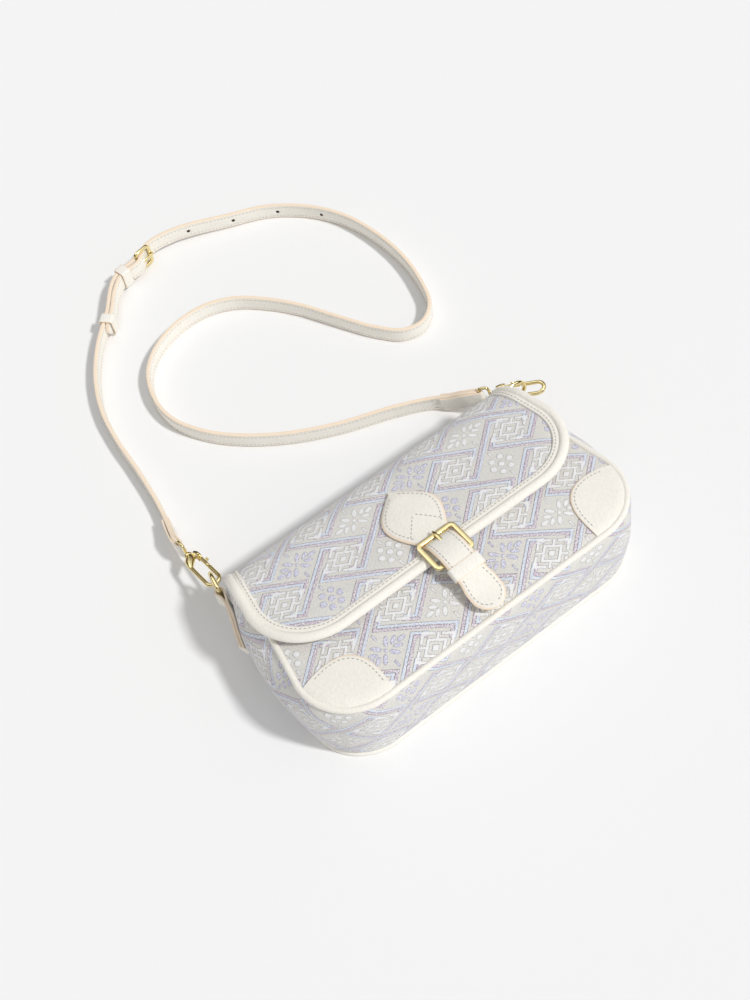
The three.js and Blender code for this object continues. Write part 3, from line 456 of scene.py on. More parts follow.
def sew(maker, line, lifts, pitch, start=1.0, radius=0.29):
    """Lays separate stitches along a line; lifts is the surface's normal, or one for each point."""
    marks = marks_along(line)
    lift_at = [lifts] * len(line) if isinstance(lifts, Vector) else lifts
    distance = start
    stitch = pitch * 0.7
    while distance + stitch < marks[-1] - 0.4:
        stations = []
        for k in range(5):
            share = k / 4
            goal = distance + stitch * share
            low = min(len(marks) - 2, bisect_right(marks, goal) - 1)
            span = marks[low + 1] - marks[low]
            t = (goal - marks[low]) / span if span else 0.0
            lift = lift_at[low].lerp(lift_at[low + 1], t).normalized()
            arch = math.sin(math.pi * share)
            point = line[low].lerp(line[low + 1], t) + lift * (0.42 * arch - 0.26)
            stations.append((point, lift, radius * (0.6 + 0.4 * arch)))
        path = [s[0] for s in stations]
        rings = []
        for (point, lift, size), heading in zip(stations, headings(path)):
            side = heading.cross(lift).normalized()
            up = side.cross(heading)
            angles = [math.pi * k / 3 for k in range(6)]
            rings.append([point + (side * math.cos(a) + up * math.sin(a)) * size for a in angles])
        maker.tube(rings)
        distance += pitch


class Plan:
    """A rounded trapezoid: half widths, lower and upper edge and corner radius."""

    def __init__(self, bottom_half, top_half, bottom, top, radius):
        self.bottom_half = bottom_half
        self.top_half = top_half
        self.bottom = bottom
        self.top = top
        self.radius = radius
        self.lean = math.atan2(bottom_half - top_half, top - bottom)

    def side(self, y, inset=0.0):
        """Half width at a height."""
        share = (y - self.bottom) / (self.top - self.bottom)
        return lerp(self.bottom_half, self.top_half, share) - inset / math.cos(self.lean)

    def corner(self, side_inset=0.0, bottom_inset=0.0):
        """Centre and radius of the right corner."""
        floor = self.bottom + bottom_inset
        radius = self.radius - (side_inset + bottom_inset) / 2
        reach = radius * (1 + math.sin(self.lean)) / math.cos(self.lean)
        return self.side(floor, side_inset) - reach, floor + radius, radius

    def right(self, side_inset, bottom_inset, end_y, corner_steps=22, side_steps=44):
        """Right side from the flat of the bottom to a height."""
        x, y, radius = self.corner(side_inset, bottom_inset)
        points = []
        for k in range(corner_steps + 1):
            angle = lerp(-math.pi / 2, self.lean, k / corner_steps)
            points.append((x + radius * math.cos(angle), y + radius * math.sin(angle)))
        low = points[-1][1]
        for k in range(1, side_steps + 1):
            height = lerp(low, end_y, k / side_steps)
            points.append((self.side(height, side_inset), height))
        return points

    def around(self, side_inset, bottom_inset, end_y, bottom_steps=36, **steps):
        """Whole outline from the upper left to the upper right."""
        right = self.right(side_inset, bottom_inset, end_y, **steps)
        flat, floor = right[0]
        bottom = [(flat * k / bottom_steps, floor) for k in range(bottom_steps)]
        half = bottom + right
        return [(-x, y) for x, y in reversed(half[1:])] + half

    def depth(self, x, y):
        """Distance of a point inside the outline."""
        x = abs(x)
        centre_x, centre_y, radius = self.corner()
        aside = (self.side(y) - x) * math.cos(self.lean)
        above = y - self.bottom
        if x > centre_x and y < centre_y + radius * math.sin(self.lean):
            return radius - math.hypot(x - centre_x, y - centre_y)
        return min(aside, above)


class BagForm:
    """Millimetre sizes and surfaces of the bag, worked out from its properties."""

    GAP = 0.3
    CLOTH = 2.0
    LINING = 0.8
    FLAP_EASE = 1.2
    BINDING_PROUD = 0.5
    WIRE = 2.6
    TONGUE = 2.2
    CHAPE = 1.3
    BUCKLE_OVERHANG = 8.0
    BAR_SPACING = 21.0
    BUCKLE_CLEARANCE = 1.9
    SNAP_TIP = 11.4
    SNAP_STACK = 6.8
    RING_WIRE = 3.0
    TAB_WIDTH = 13.0
    TAB_THICKNESS = 1.6
    TAB_TILT = 16.0
    TAB_RISE = 2.5
    TAB_LENGTH = 44.0
    GUSSET_LOW = 4.3
    GUSSET_HIGH = 3.3

    def __init__(self, sizes):
        for name in sizes.bl_rna.properties.keys():
            if name not in ("rna_type", "name"):
                setattr(self, name, getattr(sizes, name) / MM)
        self.stack = self.CLOTH + self.GAP + self.LINING
        self.crown_half = (self.panel_height + self.mouth_rise) / 2
        past_crown = (self.panel_height - self.crown_half) / self.crown_half
        crown_at_fold = self.front_crown * (1 - past_crown**2)
        self.fold_radius = (self.depth_top + crown_at_fold + self.stack + self.FLAP_EASE) / 2
        self.bottom_y = -(self.panel_height + self.fold_radius) / 2
        self.fold_y = self.bottom_y + self.panel_height
        self.top_y = self.fold_y + self.fold_radius
        self.mouth_y = self.fold_y + self.mouth_rise
        self.crown_y = self.bottom_y + self.crown_half
        self.piping_radius = self.piping_diameter / 2
        self.body = Plan(
            self.bottom_width / 2, self.top_width / 2, self.bottom_y, self.top_y, self.corner_radius
        )
        climb = self.front_z(0, self.crown_y) + self.stack + self.FLAP_EASE - 2 * self.fold_radius
        self.flap_rise = math.atan2(climb, self.fold_y - self.crown_y)
        self.fold_arc = self.fold_radius * (math.pi / 2 - self.flap_rise)
        self.flap_length = self.fold_arc + self.flap_straight
        self.back_s = -self.fold_radius * math.pi / 2
        self.flap = Plan(
            self.bottom_width / 2 - self.flap_edge_inset,
            self.top_width / 2 + self.flap_overhang,
            -self.flap_length,
            0.0,
            self.flap_corner,
        )
        self.arc_end = self.on_flap(0, self.fold_arc, 0)
        edge = self.on_flap(0, self.flap_length, 0)
        radius = self.WIRE / 2
        self.hinge = Vector((0, edge.y - self.BUCKLE_OVERHANG, 0))
        self.hinge.z = edge.z + self.BINDING_PROUD + self.WIRE + self.GAP
        self.front_bar_y = self.hinge.y + self.BAR_SPACING
        self.front_bar_z = self.flap_z(self.front_bar_y) + self.TONGUE + 3 * self.GAP + radius
        self.tip_y = edge.y - self.tongue_reach
        self.snap_y = self.tip_y + self.SNAP_TIP
        self.leaf_top_y = self.front_bar_y + self.leaf_length
        self.tongue_line = self.tongue_course()
        self.ring_z = (self.GUSSET_LOW + self.front_plane(self.mouth_y) - self.GUSSET_HIGH) / 2
        self.tab_top_y = self.gusset_end(self.ring_z) + self.TAB_RISE
        self.ring_bar_x = self.tab_x(self.tab_top_y) + self.RING_WIRE / 2 + 0.4 + self.TAB_THICKNESS

    def front_plane(self, y):
        """Height of the front seam."""
        share = (y - self.bottom_y) / self.panel_height
        return lerp(self.depth_bottom, self.depth_top, share)

    def front_z(self, x, y):
        """Height of the crowned front panel."""
        across = max(0.0, 1 - (x / self.body.side(y)) ** 2)
        along = max(0.0, 1 - ((y - self.crown_y) / self.crown_half) ** 2)
        return self.front_plane(y) + self.front_crown * across * along

    def front_skin(self, x, y):
        """Height of the soft front cloth, drawn in at its seam."""
        depth = max(0.0, self.body.depth(x, y) - self.piping_radius)
        drawn = 1.9 * math.exp(-depth / 3.0)
        pucker = 0.5 * ripple(x / 6, y / 6, 3.1) * math.exp(-depth / 6)
        broad = 0.5 * ripple(x / 40, y / 32, 0.4) * (1 - math.exp(-depth / 10))
        return self.front_z(x, y) + 0.2 - drawn + pucker + broad

    def on_flap(self, x, s, n):
        """Point on the back, fold and flap; s runs from the hinge to the flap's edge, n is outward."""
        radius = self.fold_radius
        if s < self.back_s:
            return Vector((x, self.fold_y + s - self.back_s, -n))
        angle = min(s, self.fold_arc) / radius
        past = max(0.0, s - self.fold_arc)
        y = self.fold_y + (radius + n) * math.cos(angle) - past * math.sin(angle)
        z = radius + (radius + n) * math.sin(angle) + past * math.cos(angle)
        return Vector((x, y, z))

    def flap_point(self, x, s, n):
        """Point on the flap with its free corners let down."""
        point = self.on_flap(x, s, n)
        share = (abs(x) / self.flap.bottom_half) ** 2.4
        point.z -= self.flap_droop * share * ease((s - 20) / (self.flap_length - 20))
        return point

    def flap_lift(self, x, s):
        """Outward direction of the flap."""
        return (self.on_flap(x, s, 1) - self.on_flap(x, s, 0)).normalized()

    def flap_straighten(self, s):
        """Extra half width that keeps the flap's sides parallel behind the hinge."""
        slope = math.tan(self.flap.lean)
        settled = 6 * math.log(1 + math.exp(min(s, 120) / 6))
        return slope * (settled - s)

    def flap_z(self, y):
        """Height of the flap's outer face at x 0."""
        if y > self.arc_end.y:
            return self.fold_radius + math.sqrt(self.fold_radius**2 - (y - self.fold_y) ** 2)
        return self.arc_end.z + (self.arc_end.y - y) * math.tan(self.flap_rise)

    def gusset_end(self, z):
        """Height at which the gusset ends under the fold."""
        inner = self.fold_radius - self.stack - self.BINDING_PROUD - 2 * self.GAP
        return self.fold_y + math.sqrt(max(4.0, inner**2 - (z - self.fold_radius) ** 2))

    def tab_x(self, y):
        """Inner face of the side tabs."""
        return self.swollen(1).side(y) + self.belly(y) - 0.5 + 2 * self.GAP

    def belly(self, y):
        """Extra outward swell of the gusset at a height: full on the sides, drawn in at the corners."""
        full = ease((y + 52) / 50) * ease((70 - y) / 50)
        drawn = math.exp(-(((y + 62) / 10) ** 2))
        return self.side_belly * (full - 0.3 * drawn)

    def swollen(self, swell):
        """Outline of the gusset at a share of its full bulge."""
        body = self.body
        low = body.bottom_half + self.corner_bulge * swell
        high = body.top_half + self.side_bulge * swell
        return Plan(low, high, body.bottom, body.top, body.radius)

    def tongue_course(self):
        """Underside of the leaf and tongue, from the leaf's point to the tongue's end."""
        top = self.leaf_top_y
        bar = self.front_bar_y
        knots = [
            Vector((0, y, self.flap_z(y) + 2 * self.GAP))
            for y in (top, top - 12, top - 24, top - 36, bar + 2, bar - 2)
        ]
        loop = self.WIRE / 2 + 0.35 + self.CHAPE
        slope = (self.front_z(0, self.snap_y + 1) - self.front_z(0, self.snap_y - 1)) / 2
        snap_z = self.front_z(0, self.snap_y) + self.SNAP_STACK
        bridge = lerp(self.front_bar_z, self.hinge.z, 0.32) + 0.7
        knots.append(Vector((0, lerp(bar, self.hinge.y, 0.32), bridge)))
        knots.append(self.hinge + Vector((0, 0, loop + self.GAP)))
        knots.append(Vector((0, self.snap_y, snap_z)))
        knots.append(Vector((0, self.tip_y, snap_z - slope * (self.snap_y - self.tip_y))))
        return resample(smooth_line(knots), 0.4)

    def tongue_at(self, y):
        """Point and upward direction of the tongue's underside at a height."""
        line = self.tongue_line
        low = bisect_right(line, -y, key=lambda p: -p.y) - 1
        low = max(0, min(len(line) - 2, low))
        one = line[low]
        other = line[low + 1]
        point = one.lerp(other, (one.y - y) / (one.y - other.y))
        wide = (line[max(0, low - 3)] - line[min(len(line) - 1, low + 4)]).normalized()
        return point, RIGHT.cross(wide)

    def tongue_half(self, y):
        """Half width of the leaf and tongue at a height."""
        broad_y = self.leaf_top_y - self.leaf_point
        if y > broad_y:
            share = max(0.0, (self.leaf_top_y - y) / self.leaf_point)
            return self.leaf_width / 2 * math.sin(math.pi / 2 * share)
        half = self.tongue_width / 2
        if y > self.front_bar_y:
            share = (y - self.front_bar_y) / (broad_y - self.front_bar_y)
            return lerp(half, self.leaf_width / 2, math.sin(math.pi / 2 * share))
        half += 1.3 * ease((self.hinge.y - 15 - y) / 9)
        past = self.tip_y + half - y
        return half if past <= 0 else math.sqrt(max(0.0, half**2 - past**2))


def bag_form(context):
    """The bag's form from the scene's sizes."""
    return BagForm(context.scene.flap_bag_sizes)


class Field:
    """A number that varies over a surface, built as shader arithmetic."""

    def __init__(self, tree, socket):
        self.tree = tree
        self.socket = socket

    def work(self, operation, other=None):
        """One step of arithmetic."""
        node = self.tree.nodes.new("ShaderNodeMath")
        node.operation = operation
        self.tree.links.new(self.socket, node.inputs[0])
        if isinstance(other, Field):
            self.tree.links.new(other.socket, node.inputs[1])
        elif other is not None:
            node.inputs[1].default_value = other
        return Field(self.tree, node.outputs[0])

    def __add__(self, other):
        return self.work("ADD", other)

    def __sub__(self, other):
        return self.work("SUBTRACT", other)

    def __mul__(self, other):
        return self.work("MULTIPLY", other)

    def size(self):
        """The number without its sign."""
        return self.work("ABSOLUTE")

    def sign(self):
        """Minus one, zero or one."""
        return self.work("SIGN")

    def nearest(self):
        """The nearest whole number."""
        return self.work("ROUND")

    def part(self):
        """What is left above the whole number below."""
        return self.work("FRACT")

    def wave(self):
        """Sine of the number."""
        return self.work("SINE")

    def most(self, other):
        """The greater of two."""
        return self.work("MAXIMUM", other)

    def least(self, other):
        """The smaller of two."""
        return self.work("MINIMUM", other)

    def step(self, limit, soft, below, above):
        """A soft step at the limit from one value to another."""
        node = self.tree.nodes.new("ShaderNodeMapRange")
        node.interpolation_type = "SMOOTHSTEP"
        self.tree.links.new(self.socket, node.inputs[0])
        for slot, value in enumerate((limit - soft, limit + soft, below, above), 1):
            node.inputs[slot].default_value = value
        return Field(self.tree, node.outputs[0])

    def under(self, limit, soft):
        """One below the limit and zero above it."""
        return self.step(limit, soft, 1.0, 0.0)

    def over(self, limit, soft):
        """One above the limit and zero below it."""
        return self.step(limit, soft, 0.0, 1.0)

    def between(self, low, high):
        """Maps 0 to 1 onto low to high."""
        return self * (high - low) + low


def blend_colours(share, low, high):
    """Colour between two colours or colour sockets."""
    tree = share.tree
    node = tree.nodes.new("ShaderNodeMix")
    node.data_type = "RGBA"
    tree.links.new(share.socket, node.inputs[0])
    for slot, value in ((6, low), (7, high)):
        if isinstance(value, bpy.types.NodeSocket):
            tree.links.new(value, node.inputs[slot])
        else:
            node.inputs[slot].default_value = (*value, 1.0)
    return node.outputs[2]


def scaled(base, share):
    """A colour made darker or lighter."""
    return [min(1.0, c * share) for c in base]


def colour_shader(tree, shader, share, base, dark, light=1.0):
    """Colours a shader between a darker and a lighter share of one colour."""
    shade = blend_colours(share, scaled(base, dark), scaled(base, light))
    tree.links.new(shade, shader.inputs["Base Color"])


def weave_place(tree):
    """The cloth's own coordinates in millimetres: the socket, and its two parts as fields."""
    coordinates = tree.nodes.new("ShaderNodeUVMap")
    coordinates.uv_map = "weave"
    split = tree.nodes.new("ShaderNodeSeparateXYZ")
    tree.links.new(coordinates.outputs[0], split.inputs[0])
    return coordinates.outputs[0], Field(tree, split.outputs[0]), Field(tree, split.outputs[1])


def new_finish(name, roughness, **constants):
    """A material and its shader, with constant values on the shader's own sockets."""
    material = bpy.data.materials.new(name)
    material.use_nodes = True
    tree = material.node_tree
    shader = tree.nodes["Principled BSDF"]
    shader.inputs["Roughness"].default_value = roughness
    for key, value in constants.items():
        shader.inputs[key.replace("_", " ")].default_value = value
    return material, tree, shader


def speckle(tree, kind, scale, vector=None, detail=2.0):
    """A noise or cell texture as a field; scale is per metre, or per unit of the given vector."""
    node = tree.nodes.new("ShaderNodeTexNoise" if kind == "noise" else "ShaderNodeTexVoronoi")
    node.inputs["Scale"].default_value = scale
    if kind == "noise":
        node.inputs["Detail"].default_value = detail
    if vector is None:
        vector = tree.nodes.new("ShaderNodeTexCoord").outputs["Object"]
    tree.links.new(vector, node.inputs["Vector"])
    return Field(tree, node.outputs[0])


def emboss(tree, shader, height, distance, strength=1.0):
    """Raises a surface by a field; distance is in metres."""
    node = tree.nodes.new("ShaderNodeBump")
    node.inputs["Strength"].default_value = strength
    node.inputs["Distance"].default_value = distance
    tree.links.new(height.socket, node.inputs["Height"])
    tree.links.new(node.outputs[0], shader.inputs["Normal"])


def elbow(along, aside, corner_along, corner_aside):
    """One bent line of a fret band: a long run and the short stub at its end."""
    run = (aside - corner_aside).size().under(BAND_HALF, THREAD_EDGE)
    run = run * along.over(corner_along - BAND_HALF, THREAD_EDGE)
    stub = (along - corner_along).size().under(BAND_HALF, THREAD_EDGE)
    stub = stub * aside.over(0.2, THREAD_EDGE) * aside.under(corner_aside + BAND_HALF, THREAD_EDGE)
    return run.most(stub)


def petal(x, y, at_x, at_y, angle, long, wide):
    """An oval leaf of a flower."""
    turn = math.radians(angle)
    right = (x - at_x) * (math.cos(turn) / long) + (y - at_y) * (math.sin(turn) / long)
    up = (y - at_y) * (math.cos(turn) / wide) - (x - at_x) * (math.sin(turn) / wide)
    return (right * right + up * up).under(1.0, 0.16)


def petals(x, y, places):
    """Several leaves as one flower; each place is a leaf's spot, angle, length and width."""
    flower = petal(x, y, *places[0])
    for spot in places[1:]:
        flower = flower.most(petal(x, y, *spot))
    return flower


def brocade(name, colours, sizes):
    """Cloth woven with square frets, bent bands, flowers and rosettes, with painted shade and painted
    glints on its raised threads.
    """
    material, tree, shader = new_finish(
        name, 0.6, Sheen_Weight=0.2, Sheen_Roughness=0.4, Specular_IOR_Level=0.5
    )
    flat, u, v = weave_place(tree)
    waver = speckle(tree, "noise", 1.3, flat, 1.0) - 0.5
    u = u + waver * 0.55
    v = v + waver * 0.45
    across = u * (MM / sizes.repeat_across)
    along = v * (MM / sizes.repeat_along)
    column = across.nearest()
    row = along.nearest()
    right = across - column
    up = along - row
    a = right + up
    b = up - right
    swap = ((column + row) * 0.5).part().over(0.25, 0.01)

    hook = 0.3
    apart = 0.037
    outer = None
    inner = None
    for run, aside in ((a * b.sign() * -1.0, b.size()), (b * a.sign(), a.size())):
        far = elbow(run, aside, -hook - apart, 0.5 + apart)
        near = elbow(run, aside, -hook + apart, 0.5 - apart)
        outer = far if outer is None else outer.most(far)
        inner = near if inner is None else inner.most(near)
    first = outer + (inner - outer) * swap
    second = inner + (outer - inner) * swap

    ring = a.size().most(b.size())
    cross = a.size().least(b.size())
    key = (ring - 0.31).size().under(KEY_HALF, THREAD_EDGE) * cross.over(0.065, THREAD_EDGE)
    key = key.most((ring - 0.17).size().under(KEY_HALF, THREAD_EDGE))
    spoke = cross.under(0.028, 0.006) * ring.under(0.34, 0.006) * ring.over(0.17, 0.006)
    key = key.most(spoke).most(ring.under(0.062, THREAD_EDGE))

    cell_x = (across.part() - 0.5) * (sizes.repeat_across / MM)
    cell_y = (along.part() - 0.5) * (sizes.repeat_along / MM)
    x = cell_x.size()
    y = cell_y.size()
    blossom = petals(x, y, (
        (3.7, 4.4, 52, 3.3, 1.45), (11.9, 0.0, 0, 2.9, 1.5),
        (7.7, 2.3, 32, 2.9, 1.3), (0.0, 0.0, 0, 1.2, 1.2),
    ))
    rosette = petals(x, y, ((6.5, 0.0, 0, 2.2, 2.2), (3.4, 5.4, 0, 2.1, 2.1), (0.0, 0.0, 0, 2.2, 2.2)))
    dash = x.under(0.65, 0.15) * y.over(8.6, 0.2) * y.under(13.2, 0.2)
    which = (along * 0.5).part().over(0.5, 0.004)
    flower = (blossom + (rosette - blossom) * which).most(dash)
    tint = (across * 0.5).part().over(0.5, 0.004)

    fine = (v * 14.0 + u * 5.0).wave()
    cord_rib = (u * 9.0 - v * 9.0).wave()
    cloudy = speckle(tree, "noise", 0.05, flat, 3.0)
    shade = blend_colours(cloudy, scaled(colours.ground, 0.92), scaled(colours.ground, 1.07))
    shade = blend_colours(cord_rib.between(0.0, 0.05) + 0.02, shade, tone(120, 116, 118))
    shade = blend_colours(first, shade, colours.mauve)
    shade = blend_colours(second, shade, colours.pale_blue)
    shade = blend_colours(key, shade, colours.silver)
    shade = blend_colours(flower, shade, blend_colours(tint, colours.lilac, colours.silver))
    raised = first.most(second).most(key).most(flower)
    # Painted shade: a darker rim along the edges of the raised threads, where they would shade the ground
    # beside them.
    outline = raised * (raised * -1.0 + 1.0) * 3.3
    shade = blend_colours(outline, shade, tone(138, 129, 142))
    floats_glints_and_shade = speckle(tree, "noise", 1.05, flat, 2.0)
    # Painted glints: silver flecks on the raised threads where their sheen would catch the light; the
    # same noise also raises the threads' relief.
    shade = blend_colours(floats_glints_and_shade.over(0.54, 0.07) * raised.between(0.3, 0.9), shade, colours.silver)
    # Painted shade: darker flecks in the relief of the raised threads.
    painted_thread_shade = floats_glints_and_shade.under(0.41, 0.08) * raised.between(0.07, 0.24)
    shade = blend_colours(painted_thread_shade, shade, tone(142, 134, 144))
    tree.links.new(shade, shader.inputs["Base Color"])

    gloss = raised.between(0.7, 0.34)
    tree.links.new(gloss.socket, shader.inputs["Roughness"])
    height = raised + raised * fine * 0.12 + cord_rib * 0.07 + floats_glints_and_shade * raised.between(0.12, 0.5)
    emboss(tree, shader, height, 0.0005, 0.85)
    return material


def grained_leather(name, colours):
    """Cream leather with a pebbled grain, and painted shade in the grain's valleys."""
    material, tree, shader = new_finish(name, 0.5, Specular_IOR_Level=0.22)
    stretch = tree.nodes.new("ShaderNodeMapping")
    stretch.inputs["Scale"].default_value = (820.0, 430.0, 820.0)
    stretch.inputs["Rotation"].default_value = (0.0, 0.0, 0.5)
    tree.links.new(tree.nodes.new("ShaderNodeTexCoord").outputs["Object"], stretch.inputs["Vector"])
    pebble = speckle(tree, "cells", 1.0, stretch.outputs[0])
    crease = speckle(tree, "noise", 420.0, None, 3.0)
    cloudy = speckle(tree, "noise", 38.0, None, 2.0)
    base = blend_colours(cloudy, scaled(colours.leather, 0.95), scaled(colours.leather, 1.03))
    # Painted shade: darker colour in the valleys between the pebbles of the grain.
    deep = pebble.over(0.55, 0.25) * 0.14
    shade = blend_colours(deep, base, scaled(colours.leather, 0.72))
    tree.links.new(shade, shader.inputs["Base Color"])
    tree.links.new(crease.between(0.4, 0.6).socket, shader.inputs["Roughness"])
    emboss(tree, shader, pebble * -0.8 + crease * 0.5, 0.00022, 1.0)
    return material


def painted_edge(name, colours):
    """Peach paint on cut leather edges."""
    material, tree, shader = new_finish(name, 0.42, Specular_IOR_Level=0.4)
    uneven = speckle(tree, "noise", 160.0, None, 3.0)
    colour_shader(tree, shader, uneven, colours.edge_paint, 0.93)
    emboss(tree, shader, uneven, 0.0002, 0.5)
    return material


def sewing_thread(name, colours, base=None):
    """Twisted thread."""
    base = base or colours.thread
    material, tree, shader = new_finish(name, 0.62, Sheen_Weight=0.2)
    twist = speckle(tree, "noise", 2600.0, None, 2.0)
    colour_shader(tree, shader, twist, base, 0.75, 1.15)
    emboss(tree, shader, twist, 0.0001, 0.6)
    return material


def pale_thread(name, colours):
    """Twisted thread, nearly of the leather's colour."""
    return sewing_thread(name, colours, colours.pale_thread)


def plated_gold(name, colours):
    """Polished pale gold plate with faint wear."""
    material, tree, shader = new_finish(name, 0.2, Metallic=1.0)
    wear = speckle(tree, "noise", 240.0, None, 4.0)
    colour_shader(tree, shader, wear, colours.gold, 0.9, 1.08)
    tree.links.new(wear.between(0.06, 0.2).socket, shader.inputs["Roughness"])
    emboss(tree, shader, wear, 0.00004, 0.4)
    return material


def lining_twill(name, colours):
    """Diagonal twill."""
    material, tree, shader = new_finish(name, 0.75, Sheen_Weight=0.25)
    u, v = weave_place(tree)[1:]
    rib = ((u + v) * 5.5).wave()
    cloudy = speckle(tree, "noise", 60.0, None, 3.0)
    share = rib.between(0.35, 0.6) + cloudy * 0.3
    colour_shader(tree, shader, share, colours.lining, 0.82)
    emboss(tree, shader, rib * 0.5 + cloudy, 0.0002, 0.6)
    return material


def raw_hole_painted_shade(name, colours):
    """Raw leather inside the punched holes, darkened to paint the shade in them."""
    material, tree, shader = new_finish(name, 0.8)
    uneven = speckle(tree, "noise", 900.0)
    colour_shader(tree, shader, uneven, colours.hole, 0.7)
    return material


def stiff_board(name, colours):
    """Grey pressed board with fibres."""
    material, tree, shader = new_finish(name, 0.85)
    fibre = speckle(tree, "noise", 500.0, None, 5.0)
    shade = blend_colours(fibre, tone(120, 112, 100), tone(165, 156, 142))
    tree.links.new(shade, shader.inputs["Base Color"])
    emboss(tree, shader, fibre, 0.0002, 0.5)
    return material


def floor_paper(name, colours):
    """Matt paper sweep."""
    material, tree, shader = new_finish(name, 0.95, Specular_IOR_Level=0.0)
    grain = speckle(tree, "noise", 900.0, None, 2.0)
    colour_shader(tree, shader, grain, colours.floor, 0.995)
    return material


def finish(context, name):
    """A material of the bag, made when it is first asked for."""
    full_name = "bag_" + name
    material = bpy.data.materials.get(full_name)
    if material:
        return material
    colours = context.scene.flap_bag_colours
    if name == "brocade":
        return brocade(full_name, colours, context.scene.flap_bag_sizes)
    makers = {
        "leather": grained_leather,
        "edge_paint": painted_edge,
        "thread": sewing_thread,
        "pale_thread": pale_thread,
        "gold": plated_gold,
        "lining": lining_twill,
        "hole": raw_hole_painted_shade,
        "board": stiff_board,
        "floor": floor_paper,
    }
    return makers[name](full_name, colours)


def hide_finish(context):
    """Leather and its painted edge, the usual pair."""
    return [finish(context, "leather"), finish(context, "edge_paint")]


def lined_cloth(context, name, outer, inner, weave):
    """A sheet of patterned cloth with twill on its back."""
    finishes = [finish(context, "brocade"), finish(context, "lining")]
    return Maker().sheet(outer, inner, weave, (0, 1, 0)).build(name, finishes)


def refinish(node, material):
    """Gives a solid that stays in view a material of the bag."""
    materials = bpy.data.objects[node].data.materials
    materials.clear()
    materials.append(material)


def seat(obj, body, slot, *nodes):
    """Puts a piece on its body; slot is not used; nodes are the solids that it stands for."""
    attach(obj, body)
    if nodes:
        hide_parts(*nodes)
    return obj


def seat_on_fold(form, obj, slot, *nodes):
    """For a piece shaped around the fold: bakes its placement into its mesh and hides the solids that it
    stands for; slot is not used.
    """
    y = form.top_y * MM
    z = form.fold_radius * MM
    z - FOLD_BLEND
    z + FOLD_BLEND
    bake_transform(obj)
    if nodes:
        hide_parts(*nodes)


def seam(context, threads, name, kind="thread"):
    """The stitches of one seam as a piece."""
    return threads.build(name, [finish(context, kind)], sharp=80)


def arc(x, y, radius, start, end, steps, first=0):
    """Points on a circle, as pairs; the angles run from start to end in degrees."""
    angles = [math.radians(lerp(start, end, k / steps)) for k in range(first, steps + 1)]
    return [(x + radius * math.cos(a), y + radius * math.sin(a)) for a in angles]


def beside_buckle(along, aside):
    """Point by the strap buckle, along the strap and to its outer side."""
    ahead = Vector((math.cos(BUCKLE_TURN), math.sin(BUCKLE_TURN), 0))
    outer = Vector((math.sin(BUCKLE_TURN), -math.cos(BUCKLE_TURN), 0))
    return BUCKLE_SPOT + ahead * along + outer * aside


def hook_place(side):
    """Local frame of a snap hook, with X toward its ring."""
    return place(*HOOK_PLACES[side])


def strap_start(side):
    """Strap end at a hook's eye, and the direction away from it."""
    matrix = hook_place(side)
    away = -matrix.col[0].to_3d()
    return matrix.translation + away * EYE_REACH, away


def short_course(form):
    """Centreline of the short strap, from the left hook to the buckle."""
    start, away = strap_start("left")
    rise = BUCKLE_SPOT.z - STRAP_LOW
    flat = [(-115.4, 143, 1.05), (-112, 157, 0.2), (-109, 174, 0), (-106, 204, 0), (-104, 236, 0)]
    flat += [(-99, 265, 0), (-88, 292, 0.2), (-70, 318, 0.5), (-50, 338, 0.8)]
    knots = [start, start + away * 6]
    knots += [Vector((x, y, STRAP_LOW + rise * lift)) for x, y, lift in flat]
    end = -STRAP_BARS / 2 - form.WIRE / 2 - form.GAP
    knots += [beside_buckle(-30, 1), beside_buckle(end, 0)]
    return smooth_line(knots, steps=24)


def long_course(form):
    """Centreline of the long strap, from its tail through the buckle to the right hook."""
    short = short_course(form)
    offset = form.strap_thickness + 2 * form.GAP
    knots = []
    for share in (1, 0.75, 0.5, 0.25):
        point, _, aside = before_end(short, TAIL_LENGTH * share)
        knots.append(point + aside * offset)
    bypass = form.WIRE / 2 + form.strap_thickness / 2 + 4 * form.GAP
    knots += [beside_buckle(-STRAP_BARS / 2 - 1, bypass), beside_buckle(STRAP_BARS / 2 + 1, -bypass)]
    knots += [beside_buckle(32, 2), Vector((75, 359.5, lerp(STRAP_LOW, BUCKLE_SPOT.z, 0.3)))]
    route = [
        (104, 347), (128, 325), (144, 298), (152, 264), (153, 232), (148, 204), (140, 184),
        (126, 174), (110, 177), (96, 193), (82, 218), (66, 248), (49, 271), (32, 287),
        (11, 296), (-14, 296), (-38, 287), (-55, 271), (-64, 246), (-63, 223), (-52, 200),
        (-35, 180), (-7, 158), (25, 141), (62, 127), (86, 115.5),
    ]
    knots += [Vector((x, y, STRAP_LOW)) for x, y in route]
    start, away = strap_start("right")
    knots += [Vector((98, 104, STRAP_LOW + 4)), start + away * 9, start]
    return smooth_line(knots, steps=24)


def strap_profile(form):
    """Half-round edged section of the strap, and which of its faces are painted."""
    half = form.strap_thickness / 2
    tall = form.strap_width / 2
    face = [
        (half, -tall + 0.6), (half + 0.03, -tall + 1.8), (half - 0.12, -tall + 2.2),
        (half + 0.1, -tall + 2.9), (half + 0.2, -1.5), (half + 0.2, 1.5), (half + 0.1, tall - 2.9),
        (half - 0.12, tall - 2.2), (half + 0.03, tall - 1.8), (half, tall - 0.6),
    ]
    edge = [
        (half - 0.2, tall - 0.15), (half - 0.7, tall), (-half + 0.7, tall), (-half + 0.2, tall - 0.15),
    ]
    points = face + edge + [(-a, -b) for a, b in face] + [(-a, -b) for a, b in edge]
    painted = [0] * 9 + [1] * 5 + [0] * 9 + [1] * 5
    return points, painted


def upright(line):
    """Upward direction across a line that stands on edge."""
    return [(UP - h * h.z).normalized() for h in headings(line)]


